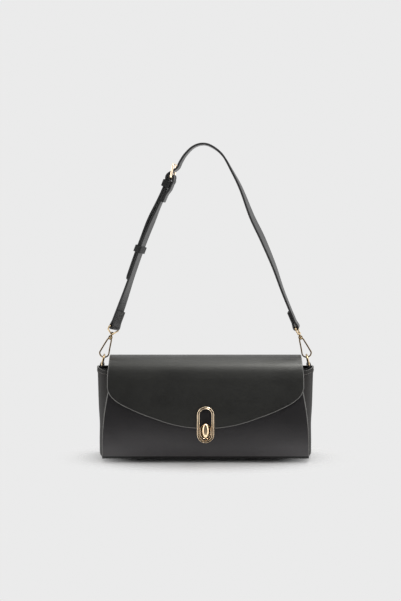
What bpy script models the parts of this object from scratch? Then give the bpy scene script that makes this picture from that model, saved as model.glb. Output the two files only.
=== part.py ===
"""A structured leather shoulder bag with a turn lock and an adjustable strap.

The bag stands on the floor at z = 0 with its front towards -Y. Every sewn panel, fitting and
strap is an object of its own, and all sizes come from the named lengths below, in metres.
"""
import math

import bmesh
import bpy
from mathutils import Matrix, Vector

MM = 0.001

# Stock and clearances
PANEL_STOCK = 1.8 * MM
GUSSET_STOCK = 1.4 * MM
FLAP_STOCK = 1.2 * MM
LINING_STOCK = 0.8 * MM
CHAPE_STOCK = 1.2 * MM
KEEPER_STOCK = 1.5 * MM
STRAP_STOCK = 2.6 * MM
STIFFENER_STOCK = 1.5 * MM
GAP = 0.3 * MM
CUT_OVERRUN = 3.0 * MM

# Body of the bag
BODY_HEIGHT = 108.0 * MM
BASE_DEPTH = 66.0 * MM
BASE_FOLD_RADIUS = 5.0 * MM
BASE_FOLD_LIP = 3.0 * MM
FRONT_LEAN = 11.0 * MM
FRONT_BULGE = 3.5 * MM
BACK_LEAN = 4.0 * MM
BACK_BULGE = 1.5 * MM
FRONT_BASE_WIDTH = 258.0 * MM
FRONT_TOP_WIDTH = 230.0 * MM
BACK_BASE_WIDTH = 269.0 * MM
BACK_TOP_WIDTH = 274.2 * MM
BACK_WAIST = 0.9 * MM
BACK_WAIST_SHARE = 0.31
BACK_WAIST_REACH_SHARE = 0.16
GUSSET_BULGE = 0.5 * MM
BASE_SIDE_MARGIN = 2.0 * MM
LINING_STANDOFF = 2.5 * MM
LINING_SIDE_STANDOFF = 5.6 * MM
LINING_TOP_MARGIN = 3.0 * MM
STIFFENER_MARGIN = 4.0 * MM
FRONT_TAPER_POWER = 2.2
GUSSET_SWEEP_POWER = 2.6
FOLD_STEPS = 4
WALL_STEPS = 11
GUSSET_STEPS = 10

# Pocket sewn to the back of the lining
POCKET_WIDTH = 130.0 * MM
POCKET_HEIGHT = 62.0 * MM
POCKET_TOP_MARGIN = 22.0 * MM

# Flap
CROWN_RISE = 17.2 * MM
FLAP_CROWN_WIDTH = 241.0 * MM
FLAP_FRONT_WIDTH = 244.5 * MM
FLAP_CLEARANCE = 0.9 * MM
FLAP_SIDE_LENGTH = 34.2 * MM
FLAP_POINT_LENGTH = 85.0 * MM
FLAP_FLARE_LENGTH = 24.0 * MM
TAIL_OVERLAP = 16.0 * MM
HINGE_SEAM = 0.4 * MM
FLAP_ROWS = 9
TAIL_ROWS = 9
TOP_ROWS = 8
PROFILE_SAMPLES = 16
# Crown of the flap, back to front: share of half the base depth, share of the crown rise
CROWN_SHARES = (
    (0.932, 0.0),
    (0.91, 0.17),
    (0.83, 0.42),
    (0.652, 0.715),
    (0.439, 0.919),
    (0.273, 1.0),
    (0.0, 1.01),
    (-0.303, 0.895),
    (-0.539, 0.634),
    (-0.691, 0.256),
)
HINGE_CROWN_POINT = 5
BEND_CROWN_POINT = 9
TAIL_DEPTH_SHARES = (1.0, 0.62, 0.26)
LINING_COVER = 0.6
FRONT_HEIGHT_SHARES = (0.955, 0.88, 0.8, 0.7, 0.6, 0.5, 0.4, 0.33, 0.26, 0.19, 0.12)
# Lower edge of the flap: share of half the width, share of the drop from side to point
FLAP_EDGE_SHARES = (
    (0.0, 1.0),
    (0.127, 0.99),
    (0.259, 0.946),
    (0.397, 0.864),
    (0.534, 0.75),
    (0.67, 0.63),
    (0.808, 0.48),
    (0.875, 0.395),
    (0.925, 0.31),
    (0.96, 0.23),
    (0.983, 0.145),
    (0.995, 0.07),
    (1.0, 0.0),
)

# Turn lock
RING_WIDTH = 21.4 * MM
RING_HEIGHT = 45.9 * MM
RING_BAND = 3.3 * MM
RING_DEPTH = 2.6 * MM
RING_CENTRE_HEIGHT = 45.3 * MM
RING_STANDOFF = 0.4 * MM
RING_BACKING_STOCK = 0.7 * MM
RING_SEAT_SAMPLES = 8
RING_STEPS = 40
# Section of the ring, two ridges and a groove: share of the band, share of the depth
RING_SECTION_SHARES = (
    (-0.5, 0.0),
    (-0.5, 0.62),
    (-0.38, 0.93),
    (-0.25, 1.0),
    (-0.07, 0.76),
    (0.07, 0.76),
    (0.25, 1.0),
    (0.38, 0.93),
    (0.5, 0.62),
    (0.5, 0.0),
)
NOTCH_CLEARANCE = 0.3 * MM
PLATE_SLOT_CLEARANCE = 0.55 * MM
PLATE_LENGTH = 19.4 * MM
PLATE_DEPTH = 1.3 * MM
PLATE_BEVEL = 0.35 * MM
WASHER_WIDTH = 12.0 * MM
WASHER_LENGTH = 18.0 * MM
WASHER_DEPTH = 0.8 * MM
KNOB_PLATE_SHARE = 0.64
KNOB_WIDTH = 8.7 * MM
KNOB_LENGTH = 19.0 * MM
KNOB_DOME = 4.4 * MM
KNOB_RING_CLEARANCE = 0.6 * MM
SPINDLE_RADIUS = 2.0 * MM
SPINDLE_CLEARANCE = 0.3 * MM

# D-rings and their leather chapes
STRAP_PLANE = 13.0 * MM
CHAPE_WIDTH = 11.0 * MM
CHAPE_LEG = 15.0 * MM
RING_BAR_RISE = 4.0 * MM
RING_BAR_REACH = 130.6 * MM
D_WIRE_RADIUS = 1.3 * MM
D_HALF_WIDTH = 8.0 * MM
D_RISE = 12.15 * MM
D_CORNER = 2.6 * MM

# Snap hooks
HOOK_REACH = 127.8 * MM
HOOK_TILT = math.radians(21.9)
HOOK_RING_CLEARANCE = 0.8 * MM
HOOK_WIRE_RADIUS = 0.9 * MM
HOOK_LOOP_RADIUS = 5.8 * MM
HOOK_LENGTH = 21.1 * MM
HOOK_HEAD_RADIUS = 2.7 * MM
HOOK_HEAD_DEPTH = 1.7 * MM
HOOK_SPREAD = 2.5 * MM
HOOK_SHOULDER = 3.6 * MM
HOOK_CRANK = 2.3 * MM
NOSE_LENGTH = 0.5 * MM
RIVET_RADIUS = 0.7 * MM
RIVET_HEAD_RADIUS = 1.5 * MM
RIVET_HEAD_DEPTH = 0.5 * MM
RIVET_CLEARANCE = 0.2 * MM
SHANK_RADIUS = 1.0 * MM
SHANK_LENGTH = 7.7 * MM
SHANK_HEAD_RADIUS = 1.8 * MM
SHANK_HEAD_DEPTH = 0.9 * MM
COLLAR_RADIUS = 2.4 * MM
COLLAR_DEPTH = 2.0 * MM
COLLAR_START = 4.2 * MM
BAIL_REACH = 14.5 * MM
BAIL_HALF_WIDTH = 8.2 * MM
BAIL_WIRE_RADIUS = 1.0 * MM
BAIL_CORNER = 1.5 * MM
BAIL_SIDE = 4.4 * MM
BAIL_WAIST = 1.7 * MM

# Strap
STRAP_WIDTH = 13.0 * MM
STRAP_RISE = 232.2 * MM
STRAP_TAIL = 21.5 * MM
HEEL_TAIL = 32.5 * MM
LONG_TAIL_END = 62.0 * MM
FOLD_REACH_FACTOR = 3.0
FOLD_ARC_STEPS = 6
LEG_STEP = 7.0 * MM
ARCH_STEP = 6.0 * MM
# Route of the long strap from the right hook over the top: share of half the span, share of
# the rise above the bail bar, and twist in degrees
ARCH_SHARES = (
    (0.916, 0.0965, 11.0),
    (0.843, 0.203, 12.0),
    (0.75, 0.332, 19.0),
    (0.622, 0.481, 26.0),
    (0.504, 0.602, 23.0),
    (0.387, 0.749, 12.0),
    (0.284, 0.848, 4.0),
    (0.184, 0.9305, -2.0),
    (0.069, 0.976, -6.0),
    (-0.031, 0.989, -8.0),
    (-0.132, 0.973, -10.0),
    (-0.217, 0.9325, -12.0),
    (-0.27, 0.891, -14.0),
    (-0.305, 0.858, -14.0),
)
RIGHT_TWIST = 10.0
LEFT_FOOT_TWIST = 45.0
LEFT_LEG_TWIST = 26.0
LEFT_HEAD_TWIST = 14.0
FOOT_TWIST_LENGTH = 12.0 * MM
LEG_TWIST_START = 72.0 * MM
HEAD_TWIST_LENGTH = 34.0 * MM
LEG_BOW = 2.8 * MM
LEG_BOW_POWER = 1.2
LAYER_SLACK = 1.0 * MM
HEEL_BAR_SHARES = (-0.361, 0.810)
FRONT_BAR_SHARES = (-0.334, 0.879)
# Where the long strap comes to lie on the short one: length along the leg past the heel bar,
# extra height over the layers below
TUCK_SHARES = ((0.9, 1.15), (-3.2, 0.56), (-6.4, 0.04))
TIP_SHARES = (1.0, 0.96, 0.84, 0.62, 0.36)
TIP_SHAPE_LENGTH = 7.0 * MM

# Buckle and keepers
BUCKLE_WIRE_RADIUS = 1.2 * MM
BUCKLE_SIDE_CLEARANCE = 0.9 * MM
BUCKLE_CORNER = 2.6 * MM
PRONG_RADIUS = 0.8 * MM
PRONG_OVERHANG = 1.6 * MM
PRONG_SLOT_CLEARANCE = 0.7 * MM
PRONG_SWEEP = math.radians(9.0)
SLOT_REACH = 7.0 * MM
KEEPER_CLEARANCE = 0.45 * MM
KEEPER_LENGTH = 8.6 * MM
KEEPER_CORNER = 1.4 * MM
FIXED_KEEPER_DROP = 9.5 * MM
FIXED_KEEPER_ROOM = 0.7 * MM
KEEPER_BULGE_FADE = 9.0 * MM
SLIDING_KEEPER_DROP = 98.4 * MM
PUNCH_RADIUS = 1.2 * MM
PUNCH_START = 18.0 * MM
PUNCH_PITCH = 22.0 * MM
PUNCH_COUNT = 4

# Worked out from the sizes above
HALF_DEPTH = BASE_DEPTH / 2
WALL_HEIGHT = BODY_HEIGHT - BASE_FOLD_RADIUS
PLATE_FOOT = RING_CENTRE_HEIGHT - RING_HEIGHT / 2 + RING_BAND + PLATE_SLOT_CLEARANCE
KNOB_HEIGHT = PLATE_FOOT + PLATE_LENGTH * KNOB_PLATE_SHARE
CROWN_HEIGHT = BODY_HEIGHT + CROWN_RISE
FLAP_STANDOFF = FLAP_CLEARANCE + FLAP_STOCK + GAP + LINING_STOCK
LAYER_PITCH = STRAP_STOCK + GAP
RING_BAR_HEIGHT = BODY_HEIGHT + RING_BAR_RISE
RING_TOP_HEIGHT = RING_BAR_HEIGHT + D_RISE
HOOK_FOOT_HEIGHT = RING_TOP_HEIGHT - D_WIRE_RADIUS - HOOK_RING_CLEARANCE - HOOK_WIRE_RADIUS
HOOK_LOOP_HEIGHT = HOOK_FOOT_HEIGHT + HOOK_LOOP_RADIUS
BAR_ABOVE_LOOP = HOOK_LENGTH + BAIL_REACH
STRAP_SPAN = HOOK_REACH - BAR_ABOVE_LOOP * math.sin(HOOK_TILT)
STRAP_FOOT_HEIGHT = HOOK_LOOP_HEIGHT + BAR_ABOVE_LOOP * math.cos(HOOK_TILT)

LEATHER_BLACK = (0.018, 0.018, 0.018)
LEATHER_EDGE = (0.11, 0.11, 0.11)
LINING_BLACK = (0.012, 0.012, 0.013)
BOARD_GREY = (0.09, 0.085, 0.08)
PALE_GOLD = (0.78, 0.57, 0.38)
STEEL_GREY = (0.45, 0.45, 0.46)

X_AXIS = Vector((1.0, 0.0, 0.0))
Y_AXIS = Vector((0.0, 1.0, 0.0))
Z_AXIS = Vector((0.0, 0.0, 1.0))


def clear_scene():
    """Remove every object, so that the script can run again in the same file."""
    for item in list(bpy.data.objects):
        bpy.data.objects.remove(item, do_unlink=True)


def new_collection(name):
    """Return a fresh collection linked to the scene."""
    group = bpy.data.collections.new(name)
    bpy.context.scene.collection.children.link(group)
    return group


def finish(name, colour, roughness, metallic):
    """Return a Principled material for one piece."""
    material = bpy.data.materials.new(name)
    material.use_nodes = True
    shader = material.node_tree.nodes["Principled BSDF"]
    shader.inputs["Base Color"].default_value = (*colour, 1.0)
    shader.inputs["Roughness"].default_value = roughness
    shader.inputs["Metallic"].default_value = metallic
    return material


def leather(name):
    """Smooth black leather."""
    return finish(name + "_leather", LEATHER_BLACK, 0.42, 0.0)


def lining_cloth(name):
    """Matt black lining cloth."""
    return finish(name + "_cloth", LINING_BLACK, 0.85, 0.0)


def gold(name):
    """Polished pale gold plating."""
    return finish(name + "_gold", PALE_GOLD, 0.18, 1.0)


def steel(name):
    """Plain steel of the hidden fittings."""
    return finish(name + "_steel", STEEL_GREY, 0.4, 1.0)


def board(name):
    """Grey stiffener board."""
    return finish(name + "_board", BOARD_GREY, 0.8, 0.0)


def link(name, data, group, material=None):
    """Make an object for the data and put it in the collection."""
    item = bpy.data.objects.new(name, data)
    if material:
        data.materials.append(material)
    group.objects.link(item)
    return item


def smooth(mesh):
    """Shade a mesh smooth and keep its sharp edges."""
    mesh.shade_smooth()
    mesh.set_sharp_from_angle(angle=math.radians(40.0))


def mesh_from(bm, name):
    """Turn a bmesh into mesh data and free it."""
    mesh = bpy.data.meshes.new(name)
    bm.to_mesh(mesh)
    bm.free()
    smooth(mesh)
    return mesh


def grid_sheet(name, columns, rows, place, stock, group, material, offset=-1.0):
    """Bend a flat grid over place(column, row) and give it the thickness of the stock."""
    bm = bmesh.new()
    bmesh.ops.create_grid(bm, x_segments=columns, y_segments=rows, size=0.5)
    for vertex in bm.verts:
        column = round((vertex.co.x + 0.5) * columns)
        row = round((vertex.co.y + 0.5) * rows)
        vertex.co = place(column, row)
    item = link(name, mesh_from(bm, name), group, material)
    wall = item.modifiers.new("Wall", "SOLIDIFY")
    wall.thickness = stock
    wall.offset = offset
    wall.use_even_offset = True
    return item


def ring_sheet(name, columns, rows, place, group, material):
    """Bend a grid into a closed ring, welding both of its seams."""
    bm = bmesh.new()
    bmesh.ops.create_grid(bm, x_segments=columns, y_segments=rows, size=0.5)
    for vertex in bm.verts:
        column = round((vertex.co.x + 0.5) * columns) % columns
        row = round((vertex.co.y + 0.5) * rows) % rows
        vertex.co = place(column, row)
    bmesh.ops.remove_doubles(bm, verts=bm.verts, dist=GAP / 100)
    bmesh.ops.recalc_face_normals(bm, faces=bm.faces)
    return link(name, mesh_from(bm, name), group, material)


def wire(name, points, radius, group, material, closed=False):
    """Round wire through the points."""
    curve = bpy.data.curves.new(name, "CURVE")
    curve.dimensions = "3D"
    curve.bevel_depth = radius
    curve.bevel_resolution = 2
    curve.use_fill_caps = True
    spline = curve.splines.new("POLY")
    spline.points.add(len(points) - 1)
    for target, point in zip(spline.points, points):
        target.co = (*point, 1.0)
    spline.use_cyclic_u = closed
    return link(name, curve, group, material)


def as_mesh(item):
    """Swap a curve object for the mesh it evaluates to, with its caps welded."""
    graph = bpy.context.evaluated_depsgraph_get()
    mesh = bpy.data.meshes.new_from_object(item.evaluated_get(graph))
    bm = bmesh.new()
    bm.from_mesh(mesh)
    bmesh.ops.remove_doubles(bm, verts=bm.verts, dist=GAP / 100)
    bm.to_mesh(mesh)
    bm.free()
    name = item.name
    group = item.users_collection[0]
    place = item.matrix_world.copy()
    bpy.data.objects.remove(item, do_unlink=True)
    solid = link(name, mesh, group)
    solid.matrix_world = place
    return solid


def flat_outline(name, loops, depth, frame, group, material):
    """Flat plate from one outline and its holes, centred on the frame's XY plane."""
    curve = bpy.data.curves.new(name, "CURVE")
    curve.dimensions = "2D"
    curve.fill_mode = "BOTH"
    curve.extrude = depth / 2
    for loop in loops:
        spline = curve.splines.new("POLY")
        spline.points.add(len(loop) - 1)
        for target, (x, y) in zip(spline.points, loop):
            target.co = (x, y, 0.0, 1.0)
        spline.use_cyclic_u = True
    item = link(name, curve, group, material)
    item.matrix_world = frame
    return item


def rod(name, radius, start, end, group, material=None, segments=20):
    """Cylinder from one point to another."""
    start = Vector(start)
    end = Vector(end)
    bm = bmesh.new()
    bmesh.ops.create_cone(
        bm,
        cap_ends=True,
        segments=segments,
        radius1=radius,
        radius2=radius,
        depth=(end - start).length,
    )
    item = link(name, mesh_from(bm, name), group, material)
    item.location = (start + end) / 2
    item.rotation_euler = (end - start).to_track_quat("Z", "Y").to_euler()
    return item


def block(name, size, frame, group, material=None):
    """Box of the given size centred on the frame."""
    bm = bmesh.new()
    bmesh.ops.create_cube(bm, size=1.0)
    bmesh.ops.scale(bm, vec=size, verts=bm.verts)
    item = link(name, mesh_from(bm, name), group, material)
    item.matrix_world = frame
    return item


def hide_tool(item):
    """Mark an object as a cutting or joining tool, not a piece of the bag."""
    item.hide_render = True
    item.display_type = "WIRE"


def combine(item, tool, operation):
    """Join a tool to a piece or cut it away."""
    hide_tool(tool)
    change = item.modifiers.new(operation.title(), "BOOLEAN")
    change.operation = operation
    change.solver = "EXACT"
    change.object = tool


def frame_at(origin, x_axis, y_axis, z_axis):
    """Matrix with the given axes and origin."""
    matrix = Matrix((x_axis, y_axis, z_axis)).transposed().to_4x4()
    matrix.translation = origin
    return matrix


def stadium(width, height, steps):
    """Points of an upright slot shape with round ends."""
    radius = width / 2
    straight = height / 2 - radius
    points = []
    for side in (1, -1):
        for step in range(steps + 1):
            angle = math.pi * step / steps
            x = side * radius * math.cos(angle)
            y = side * (straight + radius * math.sin(angle))
            points.append((x, y))
    return points


def rounded_rectangle(width, height, radius, steps):
    """Points of a rectangle with round corners."""
    points = []
    corners = ((1, 1, 0.0), (-1, 1, 0.5), (-1, -1, 1.0), (1, -1, 1.5))
    for side_x, side_y, turn in corners:
        centre_x = side_x * (width / 2 - radius)
        centre_y = side_y * (height / 2 - radius)
        for step in range(steps + 1):
            angle = math.pi * (turn + 0.5 * step / steps)
            x = centre_x + radius * math.cos(angle)
            y = centre_y + radius * math.sin(angle)
            points.append((x, y))
    return points


def interpolate(table, position):
    """Straight interpolation in a table of (position, value) rows."""
    for (low, first), (high, second) in zip(table, table[1:]):
        if position <= high:
            return first + (second - first) * (position - low) / (high - low)
    return table[-1][1]


def ease(value):
    """Smooth step from 0 to 1."""
    value = min(max(value, 0.0), 1.0)
    return value * value * (3.0 - 2.0 * value)


def spline_through(points, samples):
    """Smooth curve through the points, as (position on the list, point) samples."""
    result = []
    last = len(points) - 1
    for index in range(last):
        before = points[max(index - 1, 0)]
        start = points[index]
        end = points[index + 1]
        after = points[min(index + 2, last)]
        for sample in range(samples):
            t = sample / samples
            turn = (end - before) * (t - 2 * t * t + t ** 3) / 2
            turn += (after - start) * (t ** 3 - t * t) / 2
            blend = start * (1 - 3 * t * t + 2 * t ** 3) + end * (3 * t * t - 2 * t ** 3)
            result.append((index + t, blend + turn))
    result.append((float(last), points[last].copy()))
    return result


def wall_share(z):
    """Height on the wall above the base fold, as a share."""
    return min(max((z - BASE_FOLD_RADIUS) / WALL_HEIGHT, 0.0), 1.0)


def wall_depth(z, lean, bulge, inset):
    """Distance from the bag's middle plane to a wall, measured inset below its outer face."""
    if z >= BASE_FOLD_RADIUS:
        share = wall_share(z)
        return HALF_DEPTH - lean * share ** 2 + bulge * math.sin(math.pi * share) - inset
    radius = BASE_FOLD_RADIUS - inset
    reach = max(radius ** 2 - (BASE_FOLD_RADIUS - z) ** 2, 0.0)
    return HALF_DEPTH - BASE_FOLD_RADIUS + math.sqrt(reach)


def front_depth(z, inset=0.0):
    """Y of the front panel at a height."""
    return -wall_depth(z, FRONT_LEAN, FRONT_BULGE, inset)


def back_depth(z, inset=0.0):
    """Y of the back panel at a height."""
    return wall_depth(z, BACK_LEAN, BACK_BULGE, inset)


def front_half_width(z):
    """Half the width of the front panel at a height."""
    taper = wall_share(z) ** FRONT_TAPER_POWER
    return (FRONT_BASE_WIDTH - (FRONT_BASE_WIDTH - FRONT_TOP_WIDTH) * taper) / 2


def back_half_width(z):
    """Half the width of the back panel at a height."""
    share = wall_share(z)
    waist = BACK_WAIST * math.exp(-((share - BACK_WAIST_SHARE) / BACK_WAIST_REACH_SHARE) ** 2)
    return (BACK_BASE_WIDTH + (BACK_TOP_WIDTH - BACK_BASE_WIDTH) * share) / 2 - waist


def wall_outline(depth_at):
    """Outer (y, z) line of a wall, from its edge under the base to its top."""
    toward = math.copysign(1.0, depth_at(BODY_HEIGHT))
    line = [(toward * (HALF_DEPTH - BASE_FOLD_RADIUS - BASE_FOLD_LIP), 0.0)]
    for step in range(FOLD_STEPS):
        angle = math.pi / 2 * step / FOLD_STEPS
        depth = HALF_DEPTH - BASE_FOLD_RADIUS + BASE_FOLD_RADIUS * math.sin(angle)
        line.append((toward * depth, BASE_FOLD_RADIUS * (1 - math.cos(angle))))
    for step in range(WALL_STEPS + 1):
        z = BASE_FOLD_RADIUS + WALL_HEIGHT * step / WALL_STEPS
        line.append((depth_at(z), z))
    return line


def make_wall(name, depth_at, half_width_at, facing, group):
    """Front or back panel, turned under at the base."""
    line = wall_outline(depth_at)
    columns = 2

    def place(column, row):
        y, z = line[row]
        side = facing * (2 * column / columns - 1)
        return Vector((side * half_width_at(z), y, z))

    return grid_sheet(name, columns, len(line) - 1, place, PANEL_STOCK, group, leather(name))


def gusset_half_width(z, share):
    """Outer X of the gusset, from its front edge (share 0) to its back edge (share 1)."""
    front = front_half_width(z)
    back = back_half_width(z)
    sweep = 1 - (1 - share) ** GUSSET_SWEEP_POWER
    belly = GUSSET_BULGE * math.sin(math.pi * share) * (1 - wall_share(z))
    return front + (back - front) * sweep + belly


def make_gusset(name, side, group):
    """Side panel between the front and the back."""
    rows = WALL_STEPS + 1
    foot = PANEL_STOCK + GAP
    inset = PANEL_STOCK + GAP

    def place(column, row):
        share = column / GUSSET_STEPS
        if side < 0:
            share = 1 - share
        z = foot + (BODY_HEIGHT - foot) * row / rows
        front = front_depth(z, inset) + GAP
        back = back_depth(z, inset) - GAP
        y = front + (back - front) * share
        return Vector((side * gusset_half_width(z, share), y, z))

    return grid_sheet(name, GUSSET_STEPS, rows, place, GUSSET_STOCK, group, leather(name))


def make_base(group):
    """Base panel that the bag stands on, with a stiffener board above it."""
    length = FRONT_BASE_WIDTH - 2 * BASE_SIDE_MARGIN
    depth = BASE_DEPTH - 2 * (BASE_FOLD_RADIUS + BASE_FOLD_LIP + GAP)
    place = Matrix.Translation((0.0, 0.0, PANEL_STOCK / 2))
    name = "base_panel"
    block(name, (length, depth, PANEL_STOCK), place, group, leather(name))
    name = "base_stiffener"
    size = (length - 2 * STIFFENER_MARGIN, depth, STIFFENER_STOCK)
    height = PANEL_STOCK + GAP + STIFFENER_STOCK / 2
    block(name, size, Matrix.Translation((0.0, 0.0, height)), group, board(name))


def lining_corner(side_x, side_y, z):
    """Outer corner of the lining at a height."""
    inset = PANEL_STOCK + LINING_STANDOFF
    if side_y < 0:
        x = front_half_width(z) - LINING_SIDE_STANDOFF
        return Vector((side_x * x, front_depth(z, inset), z))
    x = back_half_width(z) - LINING_SIDE_STANDOFF
    return Vector((side_x * x, back_depth(z, inset), z))


def make_lining(group):
    """Open box of lining cloth that hangs inside the panels."""
    floor = PANEL_STOCK + STIFFENER_STOCK + 2 * GAP
    top = BODY_HEIGHT - LINING_TOP_MARGIN
    bm = bmesh.new()
    bmesh.ops.create_cube(bm, size=1.0)
    upright = [edge for edge in bm.edges if abs(edge.verts[0].co.z - edge.verts[1].co.z) > 0.5]
    bmesh.ops.subdivide_edges(bm, edges=upright, cuts=WALL_STEPS - 1, use_grid_fill=True)
    lid = [face for face in bm.faces if all(vertex.co.z > 0.49 for vertex in face.verts)]
    bmesh.ops.delete(bm, geom=lid, context="FACES_ONLY")
    for vertex in bm.verts:
        z = floor + (top - floor) * (vertex.co.z + 0.5)
        vertex.co = lining_corner(math.copysign(1, vertex.co.x), math.copysign(1, vertex.co.y), z)
    name = "lining"
    item = link(name, mesh_from(bm, name), group, lining_cloth(name))
    wall = item.modifiers.new("Wall", "SOLIDIFY")
    wall.thickness = LINING_STOCK
    wall.offset = -1.0
    wall.use_even_offset = True


def make_pocket(group):
    """Slip pocket on the inside of the lining's back wall."""
    inset = PANEL_STOCK + LINING_STANDOFF + LINING_STOCK + GAP
    rows = 6
    top = BODY_HEIGHT - POCKET_TOP_MARGIN

    def place(column, row):
        z = top - POCKET_HEIGHT * (1 - row / rows)
        x = POCKET_WIDTH * (column / 2 - 0.5)
        return Vector((x, back_depth(z, inset), z))

    name = "inner_pocket"
    pocket = grid_sheet(name, 2, rows, place, LINING_STOCK, group, lining_cloth(name), 1.0)
    return pocket


class FlapProfile:
    """Outer (y, z) line of the flap, from its tail on the back panel to its front edge."""

    def __init__(self):
        """Lay the line over the back panel, the crown and the front panel."""
        tail_cover = GAP + FLAP_STOCK
        points = []
        for share in TAIL_DEPTH_SHARES:
            z = BODY_HEIGHT - TAIL_OVERLAP * share
            points.append(Vector((0.0, back_depth(z) + tail_cover, z)))
        self.crown_start = len(points)
        for depth_share, rise_share in CROWN_SHARES:
            z = BODY_HEIGHT + CROWN_RISE * rise_share
            points.append(Vector((0.0, HALF_DEPTH * depth_share, z)))
        for share in FRONT_HEIGHT_SHARES:
            z = BODY_HEIGHT * share
            points.append(Vector((0.0, front_depth(z) - FLAP_STANDOFF, z)))
        self.samples = spline_through(points, PROFILE_SAMPLES)

    def at(self, position, inset=0.0):
        """Point at a position on the list, moved inwards by the inset."""
        index = min(int(position * PROFILE_SAMPLES), len(self.samples) - 2)
        start, first = self.samples[index]
        end, second = self.samples[index + 1]
        point = first + (second - first) * (position - start) / (end - start)
        before = self.samples[max(index - 1, 0)][1]
        after = self.samples[min(index + 2, len(self.samples) - 1)][1]
        along = (after - before).normalized()
        inward = Vector((0.0, along.z, -along.y))
        if inward.dot(Vector((0.0, 0.0, BODY_HEIGHT / 2)) - point) < 0:
            inward.negate()
        return point + inward * inset

    @property
    def hinge(self):
        """Position of the hinge line on the crown."""
        return float(self.crown_start + HINGE_CROWN_POINT)

    @property
    def bend(self):
        """Position of the front bend."""
        return float(self.crown_start + BEND_CROWN_POINT)

    def front_position(self, height):
        """Position on the front where the line passes a height."""
        for (start, first), (end, second) in zip(self.samples, self.samples[1:]):
            if start >= self.bend and second.z <= height:
                return start + (end - start) * (first.z - height) / (first.z - second.z)
        return self.samples[-1][0]


def flap_half_width(point):
    """Half the width of the flap at a point of its line."""
    crown = FLAP_CROWN_WIDTH / 2
    if point.y > 0:
        return crown
    flare = ease((CROWN_HEIGHT - point.z) / FLAP_FLARE_LENGTH)
    return crown + (FLAP_FRONT_WIDTH - FLAP_CROWN_WIDTH) / 2 * flare


def flap_edge_height(share):
    """Height of the flap's lower edge at a share of its half width."""
    drop = interpolate([(across, along) for across, along in FLAP_EDGE_SHARES], abs(share))
    side = CROWN_HEIGHT - FLAP_SIDE_LENGTH
    return side - (FLAP_POINT_LENGTH - FLAP_SIDE_LENGTH) * drop


def make_flap_strip(name, profile, start, end, rows, inset, stock, group, material):
    """Part of the flap between two positions on its line, straight across."""

    def place(column, row):
        position = start + (end - start) * row / rows
        outer = profile.at(position)
        point = profile.at(position, inset)
        side = 1 - column
        return Vector((side * flap_half_width(outer), point.y, point.z))

    return grid_sheet(name, 2, rows, place, stock, group, material)


def make_flap_front(name, profile, start, inset, stock, group, material):
    """Front of the flap, down to its curved edge."""
    shares = [-share for share, _ in reversed(FLAP_EDGE_SHARES[1:])]
    shares = shares + [share for share, _ in FLAP_EDGE_SHARES]
    top = profile.at(start).z

    def place(column, row):
        share = -shares[column]
        bottom = flap_edge_height(share)
        height = top + (bottom - top) * row / FLAP_ROWS
        position = start
        if row:
            position = profile.front_position(height)
        outer = profile.at(position)
        point = profile.at(position, inset)
        return Vector((share * flap_half_width(outer), point.y, point.z))

    columns = len(shares) - 1
    return grid_sheet(name, columns, FLAP_ROWS, place, stock, group, material)


def ring_frame(inset):
    """Frame on the lock ring's back plane: X across, Y up the ring, Z out of the front."""
    profile = FlapProfile()
    low = RING_CENTRE_HEIGHT - RING_HEIGHT / 2
    seat = []
    for index in range(RING_SEAT_SAMPLES + 1):
        height = low + RING_HEIGHT * index / RING_SEAT_SAMPLES
        seat.append(profile.at(profile.front_position(height)))
    up = (seat[-1] - seat[0]).normalized()
    out = Vector((0.0, -up.z, up.y))
    middle = (seat[0] + seat[-1]) / 2
    proud = max((place - middle).dot(out) for place in seat)
    centre = middle + up * (RING_CENTRE_HEIGHT - middle.z) / up.z
    origin = centre + out * (proud + RING_STANDOFF - inset)
    return frame_at(origin, X_AXIS, up, out)


def make_flap(group, tools):
    """Flap leather and lining, split at the two lines where the flap bends."""
    profile = FlapProfile()
    seam = HINGE_SEAM / BODY_HEIGHT * len(CROWN_SHARES)
    hinge = profile.hinge
    bend = profile.bend
    under = FLAP_STOCK + GAP
    last_cover = profile.crown_start + LINING_COVER
    make_flap_strip(
        "flap_tail", profile, 0.0, hinge - seam, TAIL_ROWS, 0.0, FLAP_STOCK, group,
        leather("flap_tail"),
    )
    make_flap_strip(
        "flap_tail_lining", profile, last_cover, hinge - seam, TAIL_ROWS - 2, under,
        LINING_STOCK, group, lining_cloth("flap_tail_lining"),
    )
    make_flap_strip(
        "flap_top_panel", profile, hinge + seam, bend - seam, TOP_ROWS, 0.0, FLAP_STOCK,
        group, leather("flap_top_panel"),
    )
    make_flap_strip(
        "flap_top_lining", profile, hinge + seam, bend - seam, TOP_ROWS, under,
        LINING_STOCK, group, lining_cloth("flap_top_lining"),
    )
    front = make_flap_front(
        "flap_front_panel", profile, bend + seam, 0.0, FLAP_STOCK, group,
        leather("flap_front_panel"),
    )
    inner = make_flap_front(
        "flap_front_lining", profile, bend + seam, under, LINING_STOCK, group,
        lining_cloth("flap_front_lining"),
    )
    slot_width = RING_WIDTH - 2 * RING_BAND + 2 * NOTCH_CLEARANCE
    slot_height = RING_HEIGHT - 2 * RING_BAND + 2 * NOTCH_CLEARANCE
    depth = 2 * (FLAP_STANDOFF + CUT_OVERRUN)
    outline = stadium(slot_width, slot_height, RING_STEPS // 4)
    notch = flat_outline("notch_cutter", [outline], depth, ring_frame(0.0), tools, None)
    combine(front, as_mesh(notch), "DIFFERENCE")
    outline = stadium(RING_WIDTH, RING_HEIGHT, RING_STEPS // 4)
    recess = flat_outline("recess_cutter", [outline], depth, ring_frame(0.0), tools, None)
    combine(inner, as_mesh(recess), "DIFFERENCE")


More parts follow.
